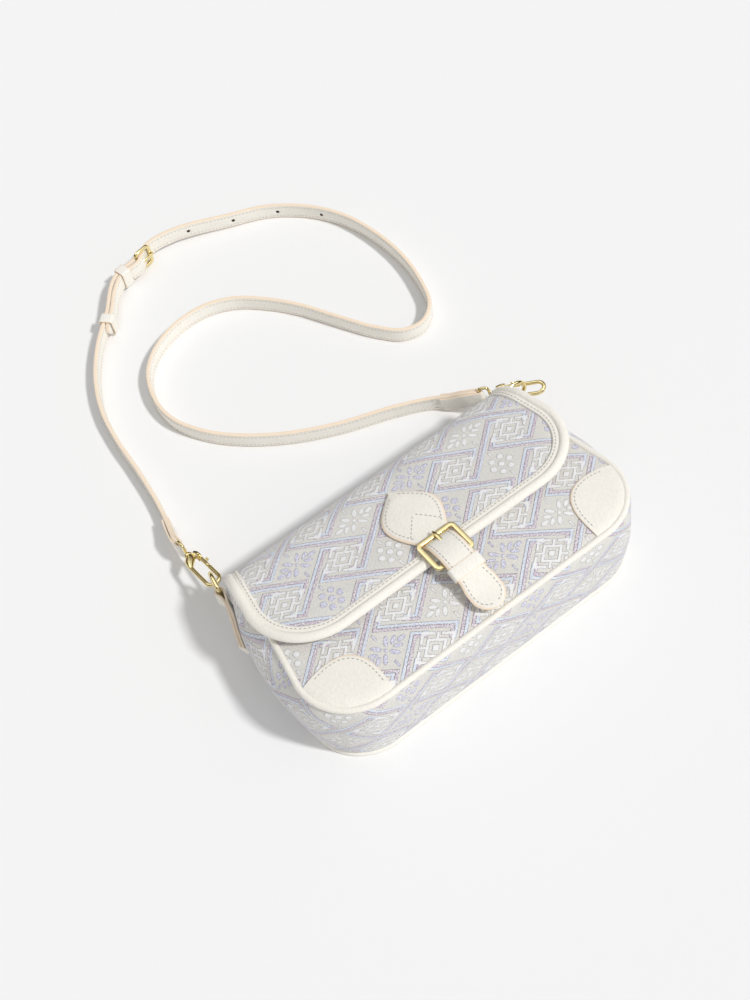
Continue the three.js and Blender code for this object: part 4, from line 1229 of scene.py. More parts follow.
def punch(obj, matrices, radius, depth, material):
    """Cuts round holes through a piece, each along its frame's Z."""
    cutter = Maker()
    for matrix in matrices:
        cutter.turned(matrix, [(radius, -depth), (radius, depth)], 20)
    tool = cutter.build("hole_cutter", [material])
    obj.data.materials.append(material)
    cut = obj.modifiers.new("holes", "BOOLEAN")
    cut.operation = "DIFFERENCE"
    cut.solver = "EXACT"
    cut.material_mode = "TRANSFER"
    cut.object = tool
    shape = bpy.data.meshes.new_from_object(obj.evaluated_get(bpy.context.evaluated_depsgraph_get()))
    obj.modifiers.clear()
    old = obj.data
    obj.data = shape
    bpy.data.meshes.remove(old)
    bpy.data.objects.remove(tool)


class FLAPBAG_OT_camera(bpy.types.Operator):
    """Sets the camera that sees the bag from above its lower left"""

    bl_idname = "flapbag.camera"
    bl_label = "Camera"

    def execute(self, context):
        level = math.cos(CAMERA_HEIGHT)
        back = Vector((
            math.sin(CAMERA_TURN) * level,
            -math.cos(CAMERA_TURN) * level,
            math.sin(CAMERA_HEIGHT),
        ))
        right = Vector((math.cos(CAMERA_TURN), math.sin(CAMERA_TURN), 0))
        up = back.cross(right)
        tilted_right = right * math.cos(CAMERA_ROLL) + up * math.sin(CAMERA_ROLL)
        tilted_up = up * math.cos(CAMERA_ROLL) - right * math.sin(CAMERA_ROLL)
        lens = bpy.data.cameras.new("camera")
        lens.lens = CAMERA_LENS
        lens.sensor_width = CAMERA_SENSOR
        lens.sensor_height = CAMERA_SENSOR
        camera = bpy.data.objects.new("camera", lens)
        matrix = Matrix((tilted_right, tilted_up, back)).transposed().to_4x4()
        matrix.translation = CAMERA_SPOT
        camera.matrix_world = matrix
        context.scene.collection.objects.link(camera)
        context.scene.camera = camera
        return {"FINISHED"}


class FLAPBAG_OT_straps(bpy.types.Operator):
    """Builds the two lengths of the shoulder strap, their folded ends and their stitches"""

    bl_idname = "flapbag.straps"
    bl_label = "Straps"

    def execute(self, context):
        form = bag_form(context)
        self.strap(context, form, "short", short_course(form), "left")
        self.strap(context, form, "long", long_course(form), "right")
        return {"FINISHED"}

    def strap(self, context, form, name, course, side):
        """One length of strap, with its end loop and stitches, and holes in the long one."""
        line = resample(course, 2.6)
        ups = upright(line)
        reach = marks_along(line)
        sizes = []
        for distance in reach:
            tip = min(1.0, distance / TAIL_ROUND) if name == "long" else 1.0
            sizes.append((1.0, max(0.12, math.sqrt(1 - (1 - tip) ** 2))))
        maker = Maker().sweep(line, ups, *strap_profile(form), sizes=sizes)
        strap = maker.build(name + "_strap", hide_finish(context))
        if name == "long":
            self.holes(context, strap, line, ups)
        seat(strap, "bag", "leather", "strap_" + name)
        ends = self.end_loop(context, form, name, line, ups, side)
        threads = self.threads(context, form, name, line, ups)
        path = [p * MM for p in (line if name == "short" else reversed(line))]

    def holes(self, context, strap, line, ups):
        """Punches the row of holes that the buckle's prong can use."""
        spots = []
        marks = marks_along(line)
        directions = headings(line)
        nearest = min(range(len(line)), key=lambda k: (line[k] - BUCKLE_SPOT).length)
        for k in range(HOLE_COUNT):
            goal = marks[nearest] + FIRST_HOLE + HOLE_PITCH * k
            index = min(range(len(line)), key=lambda i: abs(marks[i] - goal))
            spots.append(place(line[index], directions[index], ups[index]))
        punch(strap, spots, HOLE_RADIUS, 4.0, finish(context, "hole"))

    def end_loop(self, context, form, name, line, ups, side):
        """Leather folded around the hook's eye and sewn to both faces of the strap."""
        matrix = hook_place(side)
        ahead = matrix.col[0].to_3d()
        bar = matrix.translation - ahead * EYE_BAR
        inward = line if name == "short" else line[::-1]
        inward_ups = ups if name == "short" else ups[::-1]
        layer = 1.3
        half = form.strap_thickness / 2 + 0.15 + layer / 2
        count = 11
        heads = headings(inward)
        off = [h.cross(u).normalized() * half for h, u in zip(heads, inward_ups)]
        outer = [inward[k] + off[k] for k in range(count, 1, -1)]
        other = [inward[k] - off[k] for k in range(2, count + 1)]
        width_up = (UP - ahead * ahead.z).normalized()
        aside = (-ahead).cross(width_up).normalized()
        bend = [bar + aside * a + ahead * b for a, b in arc(0, 0, 2.0, 0, 180, 12, 1)[:-1]]
        course = resample(smooth_line(outer[:-1] + bend + other[1:], steps=4), 0.9)
        maker = Maker().sweep(course, width_up, *edged_box(layer, form.strap_width - 0.6, 0.35))
        return seat(maker.build(side + "_strap_loop", hide_finish(context)), "bag", "leather")

    def threads(self, context, form, name, line, ups):
        """Two lines of stitches on each face of the strap."""
        maker = Maker()
        half = form.strap_thickness / 2
        level = form.strap_width / 2 - 2.2
        skip = 5 if name == "long" else 12
        stop = len(line) - (12 if name == "long" else 3)
        heads = headings(line)
        sides = [h.cross(u).normalized() for h, u in zip(heads, ups)]
        for face in (1, -1):
            for height in (level, -level):
                run = [
                    line[k] + sides[k] * (face * (half + 0.02)) + ups[k] * height
                    for k in range(skip, stop)
                ]
                sew(maker, run, [s * face for s in sides[skip:stop]], form.stitch_pitch)
        return seat(seam(context, maker, name + "_strap_stitches", "pale_thread"), "bag", "cloth")


def rounded_loop(x0, x1, y0, y1, radius, steps=6):
    """A rounded rectangle as a closed local line."""
    return flat_points(rounded_box(x0, x1, y0, y1, radius, steps))


def buckle_mesh(matrix, spacing, inner_width, wire, stout=1.0):
    """A rounded rectangular buckle frame; X runs from the hinge bar to the front bar."""
    half = inner_width / 2 + wire / 2
    loop = [matrix @ p for p in rounded_loop(0, spacing, -half, half, 2.6, 8)]
    profile = soft_box(wire * stout, wire * 0.95, 0.5, 3)
    return Maker().sweep(loop, matrix.col[2].to_3d(), profile, closed=True)


def prong_mesh(matrix, spacing, wire):
    """A prong curled about the hinge bar and resting on the front bar."""
    curl = wire / 2 + 0.95
    rest = wire / 2 + 0.3 + 0.85
    line = []
    sizes = []
    for x, y in arc(0, 0, curl, -50, -262, 14):
        line.append(Vector((x, y, 0)))
        sizes.append((0.62, 1.0))
    for k in range(1, 15):
        share = k / 14
        x = lerp(0.3, spacing + 2.2, share)
        y = lerp(curl, rest, ease(share)) + 0.35 * math.sin(math.pi * share)
        line.append(Vector((x, y - 0.9 * max(0, share - 0.86) / 0.14, 0)))
        taper = 1 - 0.45 * max(0, share - 0.9) / 0.1
        sizes.append((lerp(0.62, 1.0, min(1, share * 4)) * taper, lerp(1.0, 0.82, share) * taper))
    line = [matrix @ p for p in line]
    return Maker().sweep(line, matrix.col[2].to_3d(), soft_box(1.7, 2.7, 0.6, 3), sizes=sizes)


def buckle_and_prong(context, kind, hinge, ahead, across, above, spacing, width, wire, stout=1.0):
    """Frame and prong of one buckle, each on its own body."""
    gold = [finish(context, "gold")]
    mesh = buckle_mesh(place(hinge, ahead, across), spacing, width, wire, stout)
    seat(mesh.build(kind + "_buckle_frame", gold), kind + "_buckle", "gold_metal", kind + "_buckle")
    mesh = prong_mesh(place(hinge, ahead, above), spacing, wire)
    seat(mesh.build(kind + "_buckle_prong", gold), kind + "_prong", "gold_metal", kind + "_prong")


def keeper_mesh(matrix, inner_y, inner_z, span, wall=1.2):
    """A leather loop about the frame's X."""
    half_y = inner_y / 2 + wall / 2
    half_z = inner_z / 2 + wall / 2
    loop = rounded_loop(-half_y, half_y, -half_z, half_z, 1.5, 5)
    line = [matrix @ Vector((0, p.x, p.y)) for p in loop]
    return Maker().sweep(line, matrix.col[0].to_3d(), *edged_box(wall, span, 0.4), closed=True)


class FLAPBAG_OT_strap_fittings(bpy.types.Operator):
    """Builds the strap's buckle, prong and two keepers"""

    bl_idname = "flapbag.strap_fittings"
    bl_label = "Strap fittings"

    def execute(self, context):
        form = bag_form(context)
        ahead = beside_buckle(1, 0) - beside_buckle(0, 0)
        outer = beside_buckle(0, 1) - beside_buckle(0, 0)
        hinge = beside_buckle(-STRAP_BARS / 2, 0)
        width = form.strap_width + 1.8
        buckle_and_prong(context, "strap", hinge, ahead, UP, outer, STRAP_BARS, width, form.WIRE)
        short = short_course(form)
        offset = form.strap_thickness + 2 * form.GAP
        for name, back, body in KEEPERS:
            point, along, aside = before_end(short, back)
            mesh = keeper_mesh(
                place(point + aside * (offset / 2), along, aside),
                offset + form.strap_thickness + 7 * form.GAP,
                form.strap_width + 2 * form.GAP,
                KEEPER_SPAN,
            )
            keeper = mesh.build(name + "_strap_keeper", hide_finish(context))
            seat(keeper, body, "leather", "strap_keeper_" + name)
        return {"FINISHED"}


class FLAPBAG_OT_hooks(bpy.types.Operator):
    """Builds the snap hooks, their gates and their swivel eyes"""

    bl_idname = "flapbag.hooks"
    bl_label = "Snap hooks"

    def execute(self, context):
        gold = [finish(context, "gold")]
        for side in ("left", "right"):
            matrix = hook_place(side)
            pieces = (
                (self.hook(matrix), side + "_snap_hook", "hook_" + side, "hook_" + side),
                (self.gate(matrix), side + "_hook_gate", "gate_" + side, "gate_" + side),
                (self.eye(matrix), side + "_swivel_eye", "bag", "swivel_eye_" + side),
            )
            for maker, name, body, node in pieces:
                seat(maker.build(name, gold), body, "gold_metal", node)
        return {"FINISHED"}

    def hook(self, matrix):
        """Swivel barrel, cheeks and bow."""
        maker = Maker()
        rings = []
        shape = (
            (0.0, 0.0, 2.2, 2.0), (0.3, 0.0, 2.9, 2.5), (1.6, 0.0, 3.1, 2.6), (2.2, -0.1, 2.6, 2.3),
            (2.8, -0.3, 3.3, 2.6), (4.5, -1.0, 4.4, 2.6), (7.0, -2.2, 3.9, 2.5), (9.5, -3.4, 2.8, 2.2),
            (11.5, -4.4, 2.0, 1.8), (12.6, -4.75, 1.5, 1.5),
        )
        for x, middle, wide, thick in shape:
            angles = [2 * math.pi * k / 24 for k in range(24)]
            ring = [Vector((x, middle + wide * math.cos(a), thick * math.sin(a))) for a in angles]
            rings.append([matrix @ p for p in ring])
        maker.tube(rings)
        bow = [Vector((lerp(11.0, HOOK_STRAIGHT, k / 7), -HOOK_HALF, 0)) for k in range(8)]
        bow += flat_points(arc(HOOK_STRAIGHT, 0, HOOK_HALF, -90, 90, 16, 1))
        bow += [Vector((HOOK_TIP + rest, HOOK_HALF, 0)) for rest in (8.0, 5.0, 2.0, 0.5, 0.0)]
        sizes = [(1.0, 1.0)] * (len(bow) - 1) + [(0.8, 0.8)]
        maker.wire(matrix, bow, 1.5, sizes=sizes)
        for face in (1, -1):
            plate = flat_points(((3.4, 3.4), (5.2, 4.5), (7.2, 4.9), (9.2, HOOK_HALF)))
            line = [matrix @ (p + Vector((0, -0.4, face * 2.15))) for p in plate]
            maker.sweep(line, matrix.col[2].to_3d(), soft_box(3.2, 0.9, 0.35, 2))
            pin = matrix @ Matrix.Translation((7.2, HOOK_HALF, face * 2.5))
            dome = [(0.05, 0.55 * face), (0.6, 0.45 * face), (0.95, 0.15 * face), (0.95, -0.4 * face)]
            maker.turned(pin, dome, 16)
        return maker

    def gate(self, matrix):
        """Sprung rod with a thumb stud."""
        rod = [Vector((x, HOOK_HALF, 0)) for x in (5.8, 6.4, 9.0, 11.5, 14.0, 16.5, 18.0, 19.3, 19.9)]
        sizes = [(0.7, 0.7)] + [(1.0, 1.0)] * 7 + [(0.75, 0.75)]
        stem = matrix @ Matrix.Translation((14, 5.4, 0)) @ Matrix.Rotation(math.radians(-90), 4, "X")
        stud = [(0.9, 0.0), (0.85, 1.0), (1.25, 1.5), (1.3, 2.2), (0.8, 2.7), (0.05, 2.8)]
        return Maker().wire(matrix, rod, 1.35, sizes=sizes).turned(stem, stud, 18)

    def eye(self, matrix):
        """Rectangular eye on a post that turns in the barrel."""
        across = matrix @ Matrix.Rotation(math.radians(90), 4, "X")
        loop = rounded_loop(-EYE_BAR, -1.4, -8.6, 8.6, 2.2, 7)
        along = matrix @ Matrix.Rotation(math.radians(90), 4, "Y")
        post = [(1.2, -1.6), (1.4, -1.4), (1.4, 3.8), (1.0, 4.0)]
        return Maker().wire(across, loop, 1.1, closed=True).turned(along, post, 18)


class FLAPBAG_OT_rings(bpy.types.Operator):
    """Builds the D-rings and the leather tabs that hold them"""

    bl_idname = "flapbag.rings"
    bl_label = "Rings and tabs"

    def execute(self, context):
        form = bag_form(context)
        for side, (sign, turn) in RING_TURNS.items():
            ring = self.ring(form, sign, turn).build(side + "_d_ring", [finish(context, "gold")])
            seat(ring, "d_ring_" + side, "gold_metal", "d_ring_" + side)
            self.tab(context, form, side, sign)
        return {"FINISHED"}

    def ring(self, form, sign, turn):
        """A D of round wire; its straight bar stands up in the tab."""
        angle = math.radians(turn)
        ahead = Vector((math.cos(angle), math.sin(angle), 0))
        origin = Vector((sign * form.ring_bar_x, form.tab_top_y, form.ring_z))
        matrix = place(origin, ahead, UP)
        half = 9.5
        bend = 1.6
        line = [(0, y) for y in (-half + bend, -3.0, 3.0, half - bend)]
        line += arc(bend, half - bend, bend, 180, 90, 6, 1)[:-1]
        line += [(2.0, half), (5.0, half)]
        line += arc(8, 0, half, 90, -90, 24)
        line += [(5.0, -half), (2.0, -half)]
        line += arc(bend, -half + bend, bend, 270, 180, 6, 1)[:-1]
        return Maker().wire(matrix, flat_points(line), form.RING_WIRE / 2, 16, closed=True)

    def tilt(self, form, y, sign):
        """Direction across a side tab, which leans out with the gusset below the ring."""
        angle = math.radians(form.TAB_TILT) * ease((form.tab_top_y - 1 - y) / 12)
        return Vector((sign * math.sin(angle), 0, math.cos(angle)))

    def tab(self, context, form, side, sign):
        """A strip folded about the ring's bar and sewn down the gusset."""
        thick = form.TAB_THICKNESS
        low_y = form.tab_top_y - form.TAB_LENGTH
        inner_ys = (low_y, low_y + 12, low_y + 25, form.tab_top_y - 5)
        knots = [(form.tab_x(y) + thick / 2, y) for y in inner_ys]
        knots += arc(form.ring_bar_x, form.tab_top_y, 1.9 + thick / 2, 175, -40, 12)
        outer_ys = (form.tab_top_y - 10, low_y + 22, low_y + 12, low_y + 2)
        knots += [(form.tab_x(y) + thick * 1.5 + 0.12, y) for y in outer_ys]
        line = []
        for x, y in knots:
            pressed = 1.3 * ease((form.tab_top_y - 4 - y) / 12)
            line.append(Vector((sign * (x - pressed), y, form.ring_z)))
        line = resample(smooth_line(line, steps=8), 0.9)
        tilts = [self.tilt(form, p.y, sign) for p in line]
        maker = Maker().sweep(line, tilts, *edged_box(thick, form.TAB_WIDTH, 0.4))
        tab = maker.build(side + "_ring_tab", hide_finish(context))
        seat(tab, "bag", "leather", "side_tab_" + side)
        threads = Maker()
        for level in (4.9, -4.9):
            run = []
            for k in range(28):
                y = lerp(form.tab_top_y - 11, low_y + 4, k / 27)
                x = form.tab_x(y) + thick * 2 - 1.18
                run.append(Vector((sign * x, y, form.ring_z)) + self.tilt(form, y, sign) * level)
            sew(threads, run, RIGHT * sign, form.stitch_pitch)
        seat(seam(context, threads, side + "_tab_stitches"), "bag", "cloth")


def spread(count):
    """Even steps from -1 to 1 that close up toward the ends."""
    shares = [lerp(-1, 1, k / count) for k in range(count + 1)]
    return [c * (1.35 - 0.35 * c * c) for c in shares]


class FLAPBAG_OT_body(bpy.types.Operator):
    """Builds the front panel, the gusset and the cloth of the back and flap"""

    bl_idname = "flapbag.body"
    bl_label = "Body cloth"

    # In millimetres, apart from the count of rows; the skews are small turns of the pattern.
    PANEL_INSET = 2.2
    PANEL_CLOTH = 1.7
    PANEL_SKEW = 0.045
    GUSSET_ROWS = 28
    GUSSET_CLOTH = 1.6
    BACK_INSET = 2.4
    FLAP_CLOTH = 1.2
    FLAP_SKEW = 0.061
    FLAP_SETTLE = 13
    WEAVE_ACROSS = 4
    WEAVE_ALONG = 69.5

    def execute(self, context):
        form = bag_form(context)
        self.front(context, form)
        self.gusset(context, form)
        self.back_and_flap(context, form)
        return {"FINISHED"}

    def front(self, context, form):
        """Puffed front panel, drawn in under the piping."""
        shift = form.repeat_along + WEAVE_SHIFT
        outer = []
        inner = []
        weave = []
        inset = self.PANEL_INSET
        skew = self.PANEL_SKEW
        for half, y in form.body.right(inset, inset, form.mouth_y, corner_steps=26, side_steps=40):
            xs = [half * c for c in spread(96)]
            outer.append([Vector((x, y, form.front_skin(x, y))) for x in xs])
            inner.append([Vector((x, y, form.front_skin(x, y) - self.PANEL_CLOTH)) for x in xs])
            weave.append([(x + skew * y, y - skew * x + shift) for x in xs])
        panel = lined_cloth(context, "front_cloth", outer, inner, weave)
        seat(panel, "bag", "cloth", "front_panel")

    def gusset(self, context, form):
        """One long strip around the sides and bottom, bulged and gathered at its seams."""
        shift = form.repeat_along + WEAVE_SHIFT
        counts = {"bottom_steps": 60, "corner_steps": 30, "side_steps": 46}
        high = form.front_plane(form.mouth_y) - form.GUSSET_HIGH
        outer = []
        inner = []
        weave = []
        for k in range(self.GUSSET_ROWS + 1):
            t = k / self.GUSSET_ROWS
            swell = math.sin(math.pi * t**1.25) ** 0.85
            end_y = form.gusset_end(lerp(form.GUSSET_LOW, high, t))
            tuck = 1.5 * (1 - min(1.0, math.sin(math.pi * t) * 4))
            inset = tuck + 0.4
            line = form.swollen(swell).around(inset, inset - form.bottom_bulge * swell, end_y, **counts)
            flat = form.body.around(0, 0, end_y, **counts)
            marks = marks_along(flat_points(flat))
            points = flat_points(line)
            tops = []
            backs = []
            flats = []
            for mark, point, heading in zip(marks, points, headings(points)):
                run = mark - marks[-1] / 2
                out = right_of(heading)
                gather = 0.55 * ripple(run / 5.5, t * 1.5, 7.0) * (1 - swell) * min(1.0, swell * 4)
                crease = (0.9 * ripple(run / 16, t * 2.6, 2.0) + form.belly(point.y)) * swell
                z = lerp(2.4, form.front_plane(point.y) - 1.6, t)
                spot = point + out * (gather + crease)
                tops.append(Vector((spot.x, spot.y, z)))
                deep = point + out * (gather + crease - self.GUSSET_CLOTH)
                backs.append(Vector((deep.x, deep.y, z)))
                flats.append((run, form.bottom_y - (form.depth_bottom - z) * 1.12 + shift))
            outer.append(tops)
            inner.append(backs)
            weave.append(flats)
        strip = lined_cloth(context, "gusset_cloth", outer, inner, weave)
        seat(strip, "bag", "cloth", "gusset")

    def back_and_flap(self, context, form):
        """One cloth from the lower edge of the back, around the fold, to the flap's edge."""
        rows = []
        inset = self.BACK_INSET
        for half, y in form.body.right(inset, inset, form.fold_y, corner_steps=14, side_steps=14):
            rows.append((half, form.back_s - (form.fold_y - y)))
        tuck = form.binding_width - 2.4
        sides = form.flap.right(tuck, tuck, -form.back_s, corner_steps=26, side_steps=80)
        for half, y in reversed(sides[:-1]):
            s = -y
            wide = half + form.flap_straighten(s)
            settle = ease((s - form.back_s) / self.FLAP_SETTLE)
            rows.append((lerp(form.body.side(form.fold_y) - 2.6, wide, settle), s))
        outer = []
        inner = []
        weave = []
        for half, s in rows:
            tops = []
            backs = []
            flats = []
            for c in spread(90):
                x = half * c
                if s > 30:
                    depth = form.flap.depth(x, -s) - form.binding_width
                else:
                    depth = form.flap.side(-s) + form.flap_straighten(s) - abs(x) - form.binding_width
                n = -1.35 * math.exp(-max(0.0, depth) / 5)
                if s > form.back_s:
                    n += 0.35 * ripple(x / 30, s / 26, 5.0) * (1 - math.exp(-max(0.0, depth) / 9))
                else:
                    n = -0.25
                tops.append(form.flap_point(x, s, n))
                backs.append(form.flap_point(x, s, n - self.FLAP_CLOTH))
                across = x + self.WEAVE_ACROSS
                along = self.WEAVE_ALONG - s
                flats.append((across + self.FLAP_SKEW * along, along - self.FLAP_SKEW * across))
            outer.append(tops)
            inner.append(backs)
            weave.append(flats)
        cloth = lined_cloth(context, "flap_cloth", outer, inner, weave)
        seat_on_fold(form, cloth, "cloth", "back_panel", "flap")
        tall = (form.flap_length + form.panel_height - form.back_s) * MM


class FLAPBAG_OT_piping(bpy.types.Operator):
    """Builds the leather cords in the front and rear seams"""

    bl_idname = "flapbag.piping"
    bl_label = "Piping"

    def execute(self, context):
        form = bag_form(context)
        inset = form.piping_radius
        seams = (
            ("front", form.mouth_y, lambda y: form.front_plane(y) - 1),
            ("rear", form.fold_y + 4, lambda y: form.piping_radius),
        )
        for name, end_y, level in seams:
            line = [Vector((x, y, level(y))) for x, y in form.body.around(inset, inset, end_y)]
            if name == "rear":
                for point in line:
                    point.z += max(0.0, point.y - form.fold_y) ** 2 * 0.06
            line = resample(line, 2.4)
            sizes = []
            for k in range(len(line)):
                full = 1 + 0.05 * ripple(k / 2.3, 1.7)
                closing = min(1.0, 0.35 + 0.3 * min(k, len(line) - 1 - k))
                sizes.append((full * closing, full * closing))
            maker = Maker().sweep(line, UP, round_profile(form.piping_radius + 0.1, 14), sizes=sizes)
            cord = maker.build(name + "_seam_piping", [finish(context, "leather")])
            seat(cord, "bag", "leather", name + "_piping")
        return {"FINISHED"}


class FLAPBAG_OT_lining(bpy.types.Operator):
    """Builds the lining pouch, the flap's lining and the trim at the mouth"""

    bl_idname = "flapbag.lining"
    bl_label = "Lining"

    def execute(self, context):
        form = bag_form(context)
        self.pouch(context, form)
        self.flap_lining(context, form)
        self.trim(context, form)
        refinish("base_board", finish(context, "board"))
        return {"FINISHED"}

    def pouch(self, context, form):
        """An open bag of twill that hangs inside the panels."""
        inset = 5.4
        clear = 2.6
        right = form.body.right(inset, inset, form.fold_y - form.GAP, corner_steps=14, side_steps=30)
        count = 72
        rows_out = []
        rows_in = []
        for inward, rows in ((0.0, rows_out), (form.LINING, rows_in)):
            for step, (half, y) in enumerate(right):
                low = clear + inward
                high = form.front_plane(y) - clear - inward
                middle = (low + high) / 2
                ring = []
                for k in range(count):
                    angle = 2 * math.pi * k / count
                    c = math.cos(angle)
                    d = math.sin(angle)
                    x = math.copysign(abs(c) ** SQUARENESS, c) * (half - inward)
                    z = middle + math.copysign(abs(d) ** SQUARENESS, d) * (high - middle)
                    soft = abs(0.5 * ripple(x / 14, y / 18, z / 14))
                    y_here = y + (inward if step == 0 else 0.0)
                    ring.append(Vector((x * (1 - 0.006 * soft), y_here, lerp(z, middle, 0.012 * soft))))
                rows.append(ring)
        maker = Maker()
        outer = [maker.row(r) for r in rows_out]
        inner = [maker.row(r) for r in rows_in]
        for one, other in zip(outer, outer[1:]):
            maker.strip(one, other, closed=True)
        for one, other in zip(inner, inner[1:]):
            maker.strip(other, one, closed=True)
        maker.strip(outer[-1], inner[-1], closed=True)
        maker.face(outer[0])
        maker.face(inner[0])
        pouch = maker.build("lining_pouch", [finish(context, "lining")])
        seat(pouch, "bag", "lining_cloth", "lining")

    def flap_lining(self, context, form):
        """Twill under the flap and inside the fold."""
        inset = 10.4
        sides = form.flap.right(inset, inset, -form.back_s - 1, corner_steps=20, side_steps=60)
        outer = []
        inner = []
        for half, y in reversed(sides):
            wide = half + form.flap_straighten(-y)
            xs = [wide * c for c in spread(48)]
            outer.append([form.flap_point(x, -y, -2.7) for x in xs])
            inner.append([form.flap_point(x, -y, -3.3) for x in xs])
        lining = Maker().sheet(outer, inner).build("flap_underside", [finish(context, "lining")])
        seat_on_fold(form, lining, "lining_cloth", "flap_lining")

    def trim(self, context, form):
        """Leather folded over the front panel's upper edge."""
        profile = [
            (-9.0, 0.3), (-8.8, 0.85), (-7.0, 0.95), (-4.0, 1.0), (-1.0, 0.95), (0.1, 0.55), (0.35, -0.6),
            (0.1, -1.9), (-1.0, -2.3), (-6.0, -2.3), (-6.0, -2.0), (-1.0, -1.9), (-0.4, 0.2), (-4, 0.3),
        ]
        rings = []
        for c in spread(60):
            ring = []
            for rise, lift in profile:
                y = form.mouth_y + rise
                x = (form.body.side(y) - 4.0) * c
                ring.append(Vector((x, y, form.front_z(x, min(y, form.mouth_y)) + lift)))
            rings.append(ring)
        band = Maker().tube(rings).build("mouth_edge", [finish(context, "leather")])
        seat(band, "bag", "leather", "mouth_trim")
        threads = Maker()
        y = form.mouth_y - 6.6
        half = form.body.side(y) - 6
        xs = [lerp(-1, 1, k / 120) * half for k in range(121)]
        run = [Vector((x, y, form.front_z(x, y) + 0.95)) for x in xs]
        sew(threads, run, UP, form.stitch_pitch)
        seat(seam(context, threads, "mouth_edge_stitches"), "bag", "cloth")


class FLAPBAG_OT_binding(bpy.types.Operator):
    """Builds the rolled leather around the flap's edge and its stitches"""

    bl_idname = "flapbag.binding"
    bl_label = "Flap binding"

    def execute(self, context):
        form = bag_form(context)
        section = [
            (0, -1.8), (-0.05, -0.6), (0.2, 0.0), (0.8, 0.14), (1.8, 0.02), (2.8, 0.05),
            (3.6, -0.12), (4.1, -0.25), (4.5, 0.25), (5.2, 0.9), (6.4, 1.3), (7.7, 1.15), (9.1, 0.4),
            (10.05, -0.6), (10.4, -1.7),
            (10.0, -2.8), (8.7, -3.5), (6.4, -3.75), (3.4, -3.75), (0.5, -3.7), (0, -3.2),
        ]
        width = form.binding_width
        section = [Vector((width - width / 10.4 * t, n, 0)) for t, n in section]
        section = smooth_line(section, closed=True, steps=2)
        end_y = -form.back_s - 3
        columns = []
        for point in section:
            line = form.flap.around(
                point.x, point.x, end_y, bottom_steps=30, corner_steps=26, side_steps=64
            )
            columns.append([self.spot(form, x, -y, point.y) for x, y in line])
        rings = [list(ring) for ring in zip(*columns)]
        leather = [finish(context, "leather")]
        binding = Maker().tube(rings).build("flap_edge_binding", leather, sharp=60)
        seat_on_fold(form, binding, "leather", "flap_binding")
        inset = width - 1.9
        line = form.flap.around(
            inset, inset, end_y - 4, bottom_steps=40, corner_steps=30, side_steps=90
        )
        run = [self.spot(form, x, -y, 0.02) for x, y in line]
        lifts = [form.flap_lift(x, -y) for x, y in line]
        threads = Maker()
        sew(threads, run, lifts, form.stitch_pitch)
        seat_on_fold(form, seam(context, threads, "flap_edge_stitches"), "cloth")
        return {"FINISHED"}

    def spot(self, form, x, s, n):
        """Point on the binding, kept off the table under the fold."""
        x += math.copysign(form.flap_straighten(s), x)
        base = form.on_flap(x, s, 0).z
        if n > 0 and base < 12:
            n *= max(0.0, base / 12)
        point = form.flap_point(x, s, n)
        point.z = max(point.z, 0.15)
        return point


class FLAPBAG_OT_patches(bpy.types.Operator):
    """Builds the stitched leather patches on the lower corners"""

    bl_idname = "flapbag.patches"
    bl_label = "Corner patches"

    def execute(self, context):
        form = bag_form(context)
        top = form.bottom_y + form.patch_up
        edge = form.body.around(3.0, 3.0, top + 6, bottom_steps=90, corner_steps=60)
        first = form.body.bottom_half - form.patch_along
        edge = resample([p for p in flat_points(edge) if p.x > first and p.y < top], 1.3)
        start = edge[0]
        end = edge[-1]
        chord = (end - start).normalized()
        inward = -right_of(chord)
        bow = []
        for k in range(len(edge)):
            t = lerp(0.02, 0.98, k / (len(edge) - 1))
            swell = form.patch_bow * (1 - (2 * t - 1) ** 2)
            bow.append(start.lerp(end, t) + inward * swell)
        levels = [(0.0, 0.15), (0.0, 0.75), (0.012, 1.15), (0.035, 1.3), (0.08, 1.3)]
        levels += [(d / 14, 1.35) for d in range(2, 14)] + [(1.0, 1.0)]
        levels += [(share, -0.3) for share in (1.0, 0.5, 0.1)]
        for side, sign in (("left", -1), ("right", 1)):
            columns = []
            for near, far in zip(bow, edge):
                ring = []
                for share, lift in levels:
                    spot = near.lerp(far, share)
                    z = form.front_skin(spot.x * sign, spot.y) + lift
                    ring.append(Vector((sign * spot.x, spot.y, z)))
                columns.append(ring)
            paint = [1, 1, 1] + [0] * (len(columns[0]) - 4) + [1]
            patch = Maker().tube(columns, paint).build(side + "_corner_patch", hide_finish(context))
            seat(patch, "bag", "leather", "corner_patch_" + side)
            threads = Maker()
            run = []
            for k in range(2, len(bow) - 2):
                heading = (bow[k + 1] - bow[k - 1]).normalized()
                spot = bow[k] + right_of(heading) * 2.6
                z = form.front_skin(spot.x * sign, spot.y) + 1.32
                run.append(Vector((sign * spot.x, spot.y, z)))
            sew(threads, run, UP, form.stitch_pitch)
            seat(seam(context, threads, side + "_patch_stitches"), "bag", "cloth")
        return {"FINISHED"}


